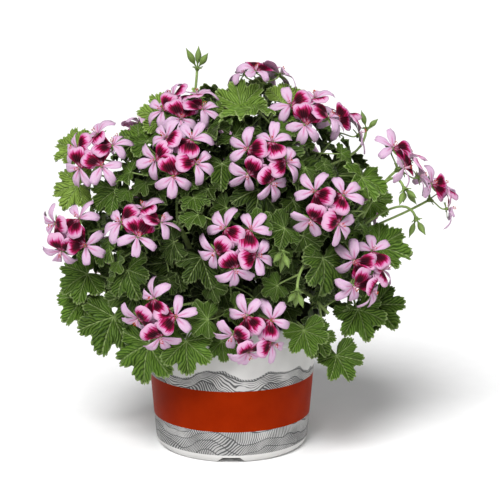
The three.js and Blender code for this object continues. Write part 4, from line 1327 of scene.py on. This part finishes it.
def pot_finish():
    """White plastic with a plain rust-red band, between two zones of fine grey pen hatching"""
    finish = Finish("pot plastic", 0.4, 0.02)
    room = finish.stretched(finish.room(), (METRE, METRE, METRE), -POT_AXIS * METRE)
    x, y, height = finish.parts(room)
    around = finish.math("ARCTAN2", x, finish.times(y, -1))
    wave = finish.times(finish.math("SINE", finish.times(around, HATCH_WAVES)), HATCH_WAVE)
    level = finish.plus(height, finish.line(finish.grain(room, 0.022), HATCH_ROLL, wave))
    layer = finish.math("DIVIDE", level, HATCH_LAYER)
    chance = finish.node("TexWhiteNoise", {"W": finish.math("FLOOR", layer)}, noise_dimensions="1D")["Color"]
    pick, weight, tone = finish.parts(chance, "SeparateColor")

    wobble = finish.times(finish.grain(room, 0.07), HATCH_WOBBLE)
    patterns = [finish.math("SINE", finish.line(around, turns, finish.line(level, rise, wobble)))
                for _, turns, rise in HATCHES]
    lines = patterns[0]
    for (share, _, _), pattern in zip(HATCHES[1:], patterns[1:]):
        lines = finish.blend(finish.above(pick, share), lines, pattern)
    press = finish.line(finish.grain(room, 0.05, 3), 3.2, -1.6)
    press = finish.plus(press, finish.line(weight, 0.5, -0.2))
    ink = finish.step(finish.less(lines, press), -0.25, 0.35)
    seam = finish.step(finish.math("ABSOLUTE", finish.less(finish.math("FRACT", layer), 0.5)), 0.44, 0.47)
    ink = finish.math("MAXIMUM", ink, seam)

    radius = finish.math("SQRT", finish.line(y, y, finish.times(x, x)))
    outside = finish.above(radius, finish.line(height, WALL_FLARE, WALL_FOOT))
    upper = finish.times(finish.below(level, HATCH_TOP), finish.above(height, BAND_TOP))
    lower = finish.times(finish.above(height, HATCH_BOTTOM), finish.below(height, BAND_BOTTOM))
    hatched = finish.times(outside, finish.plus(upper, lower))
    band = finish.times(finish.above(height, BAND_BOTTOM), finish.below(height, BAND_TOP), outside)

    scuffs = finish.grain(room, 0.05, 4)
    plastic, rust = [finish.ramp(scuffs, (0.3, low), (0.7, high)) for low, high in (POT_WHITES, POT_RUSTS)]
    plastic = finish.blend(finish.times(hatched, finish.line(tone, 0.3, 0.25)), plastic, PEN_WASH)
    colour = finish.blend(finish.times(ink, hatched, 0.86), plastic, PEN_GREY)
    finish.set("Base Color", finish.blend(band, colour, rust))
    finish.set("Roughness", finish.step(scuffs, 0.2, 0.8, 0.38, 0.44))
    finish.relief(finish.grain(room, 0.9), 0.00012)
    return finish.material


def soil_finish():
    finish = Finish("potting soil", 0.95, 0.2)
    crumbs = finish.grain(finish.room(), 420, 6, 0.7)
    finish.set("Base Color", finish.ramp(crumbs, (0.3, shade(26, 18, 12)), (0.55, shade(58, 42, 30)),
                                         (0.75, shade(98, 74, 52))))
    finish.relief(crumbs, 0.0015)
    return finish.material


def floor_finish():
    finish = Finish("studio floor", 0.9, 0.1)
    grain = finish.grain(finish.room(), 40)
    finish.set("Base Color", finish.ramp(grain, (0, shade(246, 246, 246)), (1, shade(250, 250, 250))))
    return finish.material


CAMERA_TARGET = (19.7, 0, 211)
CAMERA_DISTANCE = 1700
CAMERA_RISE = math.radians(11.8)
CAMERA_LENS = 114.7
CAMERA_SENSOR = 36
CAMERA_FAR_END = 100

# The soft lights: place in metres, power, and spread in degrees
LIGHTS = (
    ("key panel", (-0.6, -1.9, 2.5), 3.8, 30),
    ("fill panel", (1.9, -1.6, 0.9), 0.7, 40),
    ("back panel", (1.1, 1.3, 2.6), 0.45, 60),
)
LIGHT_AIM = Vector((0, 0, 0.22))
ROOM_LIGHT = 0.12
FLOOR_SIZE = 40


def set_camera():
    back = Vector((0, -math.cos(CAMERA_RISE), math.sin(CAMERA_RISE)))
    lens = bpy.data.cameras.new("camera")
    lens.lens = CAMERA_LENS
    lens.sensor_width = CAMERA_SENSOR
    lens.clip_end = CAMERA_FAR_END
    camera = bpy.data.objects.new("camera", lens)
    camera.location = in_room(CAMERA_TARGET) + back * (CAMERA_DISTANCE * MM)
    camera.rotation_euler = back.to_track_quat("Z", "Y").to_euler()
    bpy.context.scene.collection.objects.link(camera)
    bpy.context.scene.camera = camera


def set_light(name, place, power, spread):
    panel = bpy.data.lights.new(name, "SUN")
    panel.energy = power
    panel.angle = math.radians(spread)
    lamp = bpy.data.objects.new(name, panel)
    lamp.location = place
    lamp.rotation_euler = (Vector(place) - LIGHT_AIM).to_track_quat("Z", "Y").to_euler()
    bpy.context.scene.collection.objects.link(lamp)


def set_studio():
    floor = bmesh.new()
    bmesh.ops.create_grid(floor, x_segments=2, y_segments=2, size=FLOOR_SIZE)
    linked("studio_floor", floor, floor_finish())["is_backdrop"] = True
    world = bpy.data.worlds.new("studio light")
    world.use_nodes = True
    background = world.node_tree.nodes["Background"]
    background.inputs["Color"].default_value = (1, 1, 1, 1)
    background.inputs["Strength"].default_value = ROOM_LIGHT
    bpy.context.scene.world = world
    for light in LIGHTS:
        set_light(*light)
    bpy.context.scene.view_settings.view_transform = "Standard"
    set_camera()


plant = Plant()
greens = SimpleNamespace(
    leaf=leaf_finish("leaf", shade(4, 17, 0), shade(66, 103, 22), shade(146, 174, 76), shade(188, 208, 140)),
    leaf_back=leaf_finish("leaf underside", shade(44, 62, 24), shade(88, 112, 52), shade(130, 154, 80),
                          shade(140, 160, 104)),
    wood=green_finish("stem green", shade(92, 104, 54), shade(142, 168, 92)),
    bud=green_finish("bud green", shade(76, 98, 40), shade(122, 148, 70), 260),
    bract=green_finish("bract green", shade(84, 108, 48), shade(130, 156, 80), 300),
)
for stem in plant.stems:
    make_stem(stem, greens)

pinks = SimpleNamespace(
    broad=broad_petal_finish(),
    narrow=narrow_petal_finish(),
    back=petal_back_finish(),
    filament=stamen_finish("filament", shade(226, 170, 196), shade(240, 206, 222), 900),
    pollen=stamen_finish("pollen", shade(150, 40, 24), shade(206, 84, 44), 2400),
)
for bloom in plant.blooms:
    make_bloom(bloom, greens, pinks)

make_pot(pot_finish())
make_soil(soil_finish())
set_studio()

[[list(corner) for corner in box] for box in (CAD_BOX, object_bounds())]
